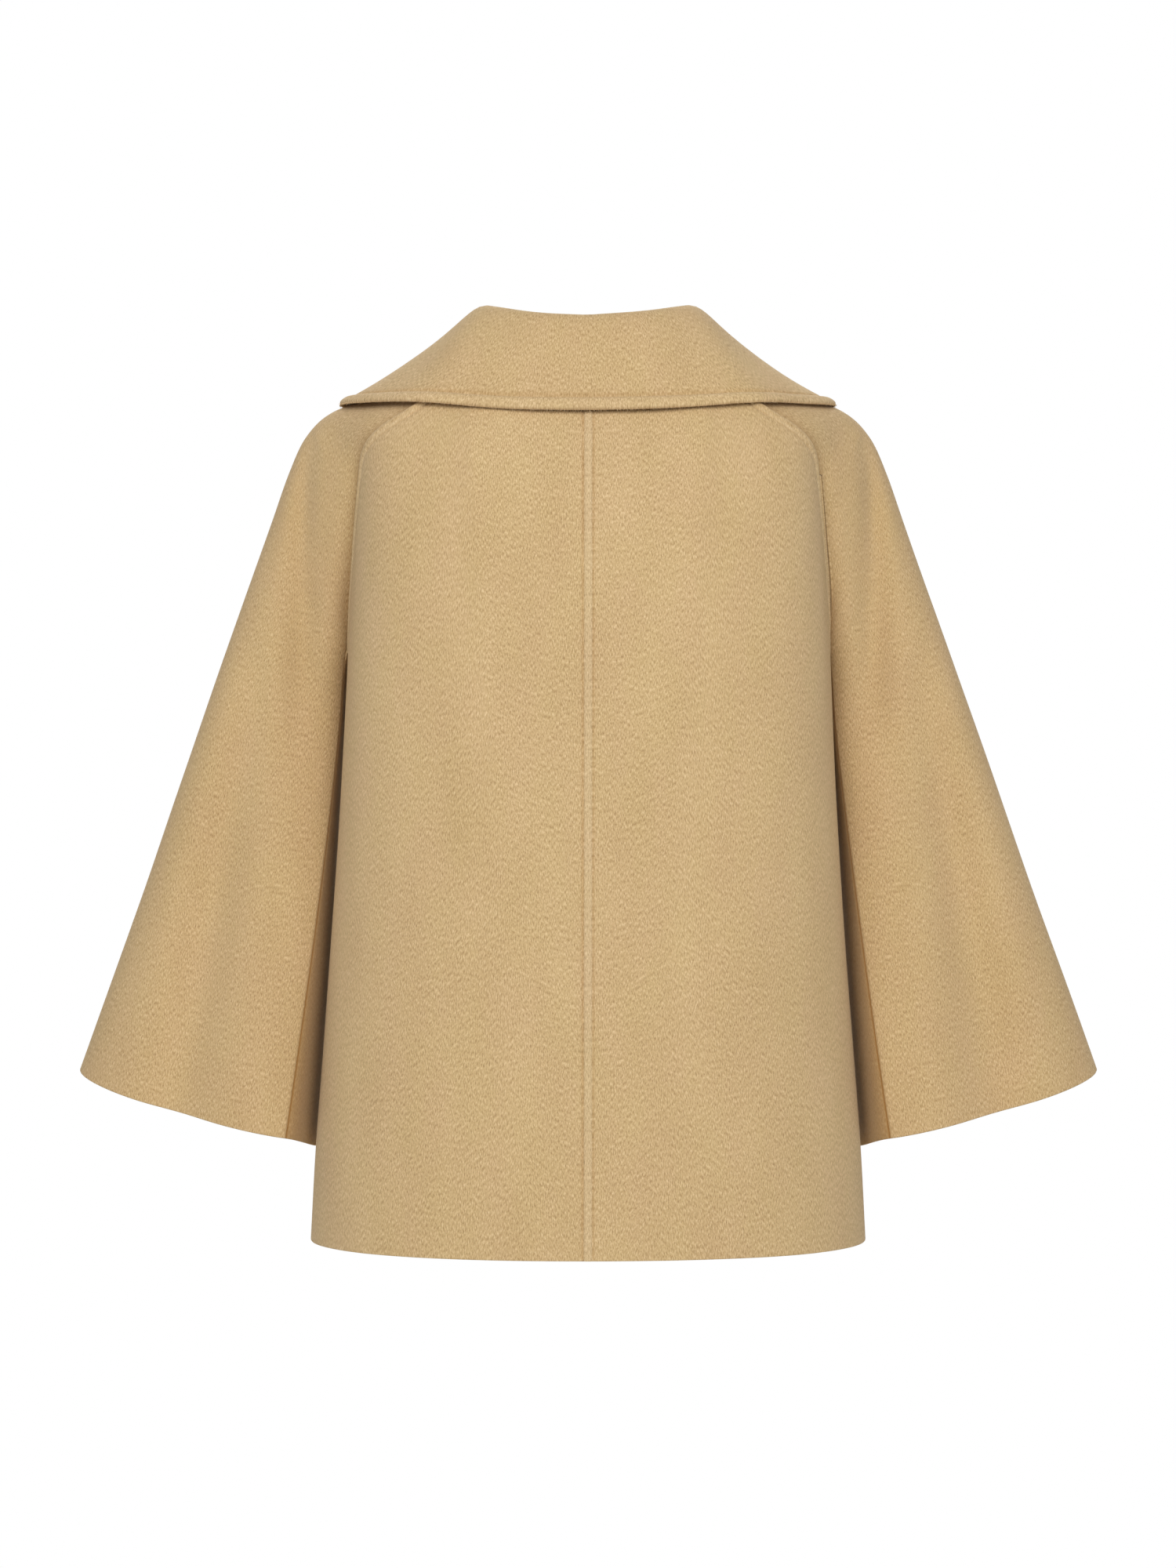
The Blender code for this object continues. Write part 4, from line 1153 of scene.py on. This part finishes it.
# The back's edge and the dish, in shares of the radius and the thickness
ButtonStep = namedtuple("ButtonStep", "radius height")
BUTTON_BACK = ButtonStep(0.86, 0.00)
DISH = [ButtonStep(0.82, 1.00), ButtonStep(0.76, 0.95), ButtonStep(0.70, 0.83), ButtonStep(0.64, 0.76),
        ButtonStep(0.10, 0.72)]
THREAD = 0.00036          # radius of a sewing thread
THREAD_SIDES = 8
THREAD_STEP = 1.7 * THREAD
UPRIGHT = 0.9             # a thread that rises by more of its length is drawn as an upright one
SEWN_POINTS = 15          # in the bow of each thread, which leaves the hole below the dish
SEWN_SINK = 0.0012
SEWN_RISE = 0.0019
SEWN_BULGE = 0.5
SHANK_TURNS = 3
SHANK_POINTS = 24         # in each turn of the thread wound round the shank
WOUND_RADIUS = 0.8 * SHANK_RADIUS
WOUND_FROM = 0.12         # shares of the shank's rise
WOUND_TO = 0.88
STRAND_START = -0.0002    # the strands under the button start in the cloth, closer together
STRAND_CLOSER = 0.5
BUTTONHOLE_LENGTH = 0.030
BUTTONHOLE_PAST = 0.004   # it reaches this far past the button's middle, towards the front edge
BUTTONHOLE_REACH = 0.00165
BUTTONHOLE_STITCHES = 74
BUTTONHOLE_THREAD = 0.62 * THREAD
BUTTONHOLE_THREAD_SIDES = 5
# A stitch's way outward from the slit, in shares of its reach, and its height over the cloth
BUTTONHOLE_STITCH = [(0.15, 0.00012), (0.45, 0.00052), (0.80, 0.00056), (1.00, 0.00010)]


def outer_front(x, z):
    """A point on the outer front's surface, which the wearer's right front is."""
    point = torso(np.asarray(turn_at_x(-x, z)), np.asarray(z))
    return np.array([-point[0], point[1] - TOP_FRONT_LIFT, point[2]])


def seat_on_front(x, z):
    """Frame of a button on the outer front: its seat, and directions across, up and outward."""
    span = BUTTON_SEAT_SPAN
    across = unit(outer_front(x + span, z) - outer_front(x - span, z))
    outward = unit(np.cross(across, outer_front(x, z + span) - outer_front(x, z - span)))
    upward = np.cross(outward, across)
    return outer_front(x, z), across, upward, outward


def placed(seat, across, upward, outward):
    columns = [Vector(across), Vector(upward), Vector(outward)]
    turn = Matrix(columns).transposed().to_4x4()
    return Matrix.Translation(Vector(seat)) @ turn


def lathe_mesh(name, profile, sides):
    angles = np.linspace(0, 2 * math.pi, sides, endpoint=False)
    points = [(radius * math.cos(angle), radius * math.sin(angle), height)
              for radius, height in profile for angle in angles]
    mesh = bpy.data.meshes.new(name)
    mesh.from_pydata(points, [], [face[::-1] for face in tube_faces(len(profile), sides)])
    return mesh


def holes():
    return [(HOLE_PLACE * math.cos(angle), HOLE_PLACE * math.sin(angle))
            for angle in (math.pi / 4 + side * math.pi / 2 for side in range(4))]


def button_mesh(finish):
    """A dished four-hole button, its back on the shank and its rim rounded."""
    rim = [ButtonStep(1 - RIM_ROUND + RIM_ROUND * math.cos(math.radians(angle)),
                      0.5 + RIM_BOW * math.sin(math.radians(angle))) for angle in RIM_ANGLES]
    profile = [(BUTTON_RADIUS * step.radius, SHANK_RISE + BUTTON_THICK * step.height)
               for step in [BUTTON_BACK, *rim, *DISH]]
    body = bpy.data.objects.new("button_body", lathe_mesh("button_body", profile, BUTTON_SIDES))
    bpy.context.scene.collection.objects.link(body)
    cutters = []
    for x, y in holes():
        through = [(HOLE_RADIUS, -BUTTON_THICK), (HOLE_RADIUS, 3 * BUTTON_THICK)]
        cutter = bpy.data.objects.new("hole", lathe_mesh("hole", through, HOLE_SIDES))
        cutter.location = (x, y, 0.0)
        bpy.context.scene.collection.objects.link(cutter)
        cutters.append(cutter)
        cut = body.modifiers.new("hole", "BOOLEAN")
        cut.object = cutter
    bpy.context.view_layer.update()
    evaluated = body.evaluated_get(bpy.context.evaluated_depsgraph_get())
    mesh = bpy.data.meshes.new_from_object(evaluated)
    for made in (*cutters, body):
        bpy.data.objects.remove(made, do_unlink=True)
    mesh.materials.clear()
    mesh.materials.append(finish)
    mesh.shade_smooth()
    mesh.set_sharp_from_angle(angle=math.radians(BUTTON_CREASE))
    return mesh


def sewing_mesh(finish):
    """Two rows of thread over the button, and the wound shank beneath it."""
    dish_top = SHANK_RISE + BUTTON_THICK * DISH[-1].height
    parts = []
    (right, up), (left, _), _, (_, down) = holes()
    bow = np.linspace(0.0, math.pi, SEWN_POINTS)
    for row in (up, down):
        for number in (-1, 0, 1):
            path = [(left + (right - left) * (1 - math.cos(part)) / 2, row + number * THREAD_STEP,
                     dish_top - SEWN_SINK + SEWN_RISE * math.sin(part) ** SEWN_BULGE) for part in bow]
            parts.append(tube(path, THREAD, THREAD_SIDES))
    turns = np.linspace(0, 2 * math.pi * SHANK_TURNS, SHANK_POINTS * SHANK_TURNS)
    wound = [(WOUND_RADIUS * math.cos(turn), WOUND_RADIUS * math.sin(turn),
              SHANK_RISE * (WOUND_FROM + (WOUND_TO - WOUND_FROM) * turn / turns[-1])) for turn in turns]
    parts.append(tube(wound, THREAD, THREAD_SIDES))
    for x, y in holes():
        path = [(x * STRAND_CLOSER, y * STRAND_CLOSER, STRAND_START), (x, y, dish_top)]
        parts.append(tube(path, 2 * THREAD, THREAD_SIDES))
    return joined("sewing", parts, finish)


def buttonhole_mesh(name, height, finish):
    """A slit worked over with thread, lying on the outer front beside its button."""
    start = BUTTON_X + BUTTONHOLE_PAST
    parts = []
    for number in range(BUTTONHOLE_STITCHES):
        part = 2.0 * number / BUTTONHOLE_STITCHES
        side = 1.0 if part < 1.0 else -1.0
        x = start - BUTTONHOLE_LENGTH * (part if part < 1.0 else 2.0 - part)
        path = []
        for share, rise in BUTTONHOLE_STITCH:
            seat, _, _, outward = seat_on_front(x, height + side * BUTTONHOLE_REACH * share)
            path.append(seat + outward * (swell(seat[None, None])[0, 0] + rise))
        parts.append(tube(path, BUTTONHOLE_THREAD, BUTTONHOLE_THREAD_SIDES))
    return joined(name, parts, finish)


def add_buttons(horn, thread):
    button = button_mesh(horn)
    sewing = sewing_mesh(thread)
    for row, height in BUTTON_ROWS.items():
        for side, x in (("left", BUTTON_X), ("right", -BUTTON_X)):
            name = f"button_{row}_{side}"
            place = placed(*seat_on_front(x, height))
            horn_piece = add_piece(name + "_horn", button)
            horn_piece.matrix_world = place
            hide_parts(name)
            add_piece(name + "_thread", sewing).matrix_world = place
        worked = f"buttonhole_{row}_thread"
        add_piece(worked, buttonhole_mesh(worked, height, thread))


# Floor, light and camera

FLOOR_Z = -1.45
FLOOR_RADIUS = 2.2
FLOOR_SIDES = 128
FLOOR_SURFACE = {"Base Color": (0.86, 0.86, 0.85, 1.0), "Roughness": 0.8}
LIGHT_AWAY = 3.2
LIGHT_Z = 1.3
LIGHT_SIZE = (3.4, 2.2)
LIGHT_POWER = 108.0
ROOM_LIGHT = 0.34
CAMERA_DISTANCE = 2.9
CAMERA_Z = -0.3288
CAMERA_LENS = 87.0
CAMERA_SENSOR = 36.0


def add_floor():
    bpy.ops.mesh.primitive_circle_add(vertices=FLOOR_SIDES, radius=FLOOR_RADIUS, fill_type="NGON",
                                      location=(0.0, 0.0, FLOOR_Z))
    floor = bpy.context.object
    floor.name = "studio_floor"
    made, _, _, shader = new_material("pale_floor")
    set_inputs(shader, FLOOR_SURFACE)
    floor.data.materials.append(made)


def add_light(name, y):
    light = bpy.data.lights.new(name, "AREA")
    light.shape = "RECTANGLE"
    light.size, light.size_y = LIGHT_SIZE
    light.energy = LIGHT_POWER
    lamp = bpy.data.objects.new(name, light)
    lamp.location = (0.0, y, LIGHT_Z)
    aim = Vector((0.0, 0.0, CAMERA_Z)) - lamp.location
    lamp.rotation_euler = aim.to_track_quat("-Z", "Y").to_euler()
    lamp.visible_camera = False
    bpy.context.scene.collection.objects.link(lamp)


def add_world():
    """White behind the object, and a dimmer white as light from all round."""
    world = bpy.data.worlds.new("studio")
    world.use_nodes = True
    bpy.context.scene.world = world
    nodes = world.node_tree.nodes
    links = world.node_tree.links
    background = nodes["Background"]
    set_inputs(background, {"Color": (1.0, 1.0, 1.0, 1.0)})
    path = nodes.new("ShaderNodeLightPath")
    strength = nodes.new("ShaderNodeMapRange")
    set_inputs(strength, {"To Min": ROOM_LIGHT, "To Max": 1.0})
    links.new(path.outputs["Is Camera Ray"], strength.inputs["Value"])
    links.new(strength.outputs["Result"], background.inputs["Strength"])


def add_camera():
    camera = bpy.data.objects.new("camera", bpy.data.cameras.new("camera"))
    camera.location = (0.0, CAMERA_DISTANCE, CAMERA_Z)
    camera.rotation_euler = (math.pi / 2, 0.0, math.pi)
    camera.data.lens = CAMERA_LENS
    camera.data.sensor_width = CAMERA_SENSOR
    camera.data.sensor_fit = "AUTO"
    bpy.context.scene.collection.objects.link(camera)
    bpy.context.scene.camera = camera


def jacket_panels():
    left = {
        "back": back_panel(),
        "front": front_panel(),
        "sleeve_back": sleeve_half(True),
        "sleeve_front": sleeve_half(False),
    }
    panels = {name + "_left": grid for name, grid in left.items()}
    panels.update({name + "_right": mirrored_grid(grid) for name, grid in left.items()})
    panels["front_right"] = mirrored_grid(front_panel(top_front_lift))
    # The lapped centre seam lies on the wearer's left back, so the right back stops at it
    panels["back_right"] = panels["back_right"][:, 1:]
    panels["back_right"][:, 0] = panels["back_left"][:, 0]
    turned_over = {"back": False, "front": True, "sleeve_back": False, "sleeve_front": True}
    flips = {}
    for name in panels:
        kind, side = name.rsplit("_", 1)
        flips[name] = turned_over[kind] != (side == "right")
    sides = dict(panels)
    sides["back_right"] = mirrored_grid(left["back"])
    panels["collar"] = collar_grid(sides)
    flips["collar"] = True
    return panels, flips


def add_cloth():
    panels, flips = jacket_panels()
    for side in ("left", "right"):
        panels["sleeve_back_" + side][..., 1] -= fold_depths(DRAWN_FOLDS)
    normals = shared_normals(panels, flips)
    for name, grid in panels.items():
        panels[name] = grid + normals[name] * swell(grid)[..., None]
    normals = shared_normals(panels, flips)
    wool = wool_material()
    for name, grid in panels.items():
        cloth_piece(name, grid, normals[name], flips[name], wool)
    add_collar_nap(panels["collar"], normals["collar"], patterned_material(NAP_FINISH))


add_camera()
add_cloth()
add_buttons(patterned_material(HORN_FINISH), patterned_material(THREAD_FINISH))
add_floor()
add_light("key", LIGHT_AWAY)
add_light("front_key", -LIGHT_AWAY)
add_world()
bpy.context.scene.view_settings.view_transform = "Standard"
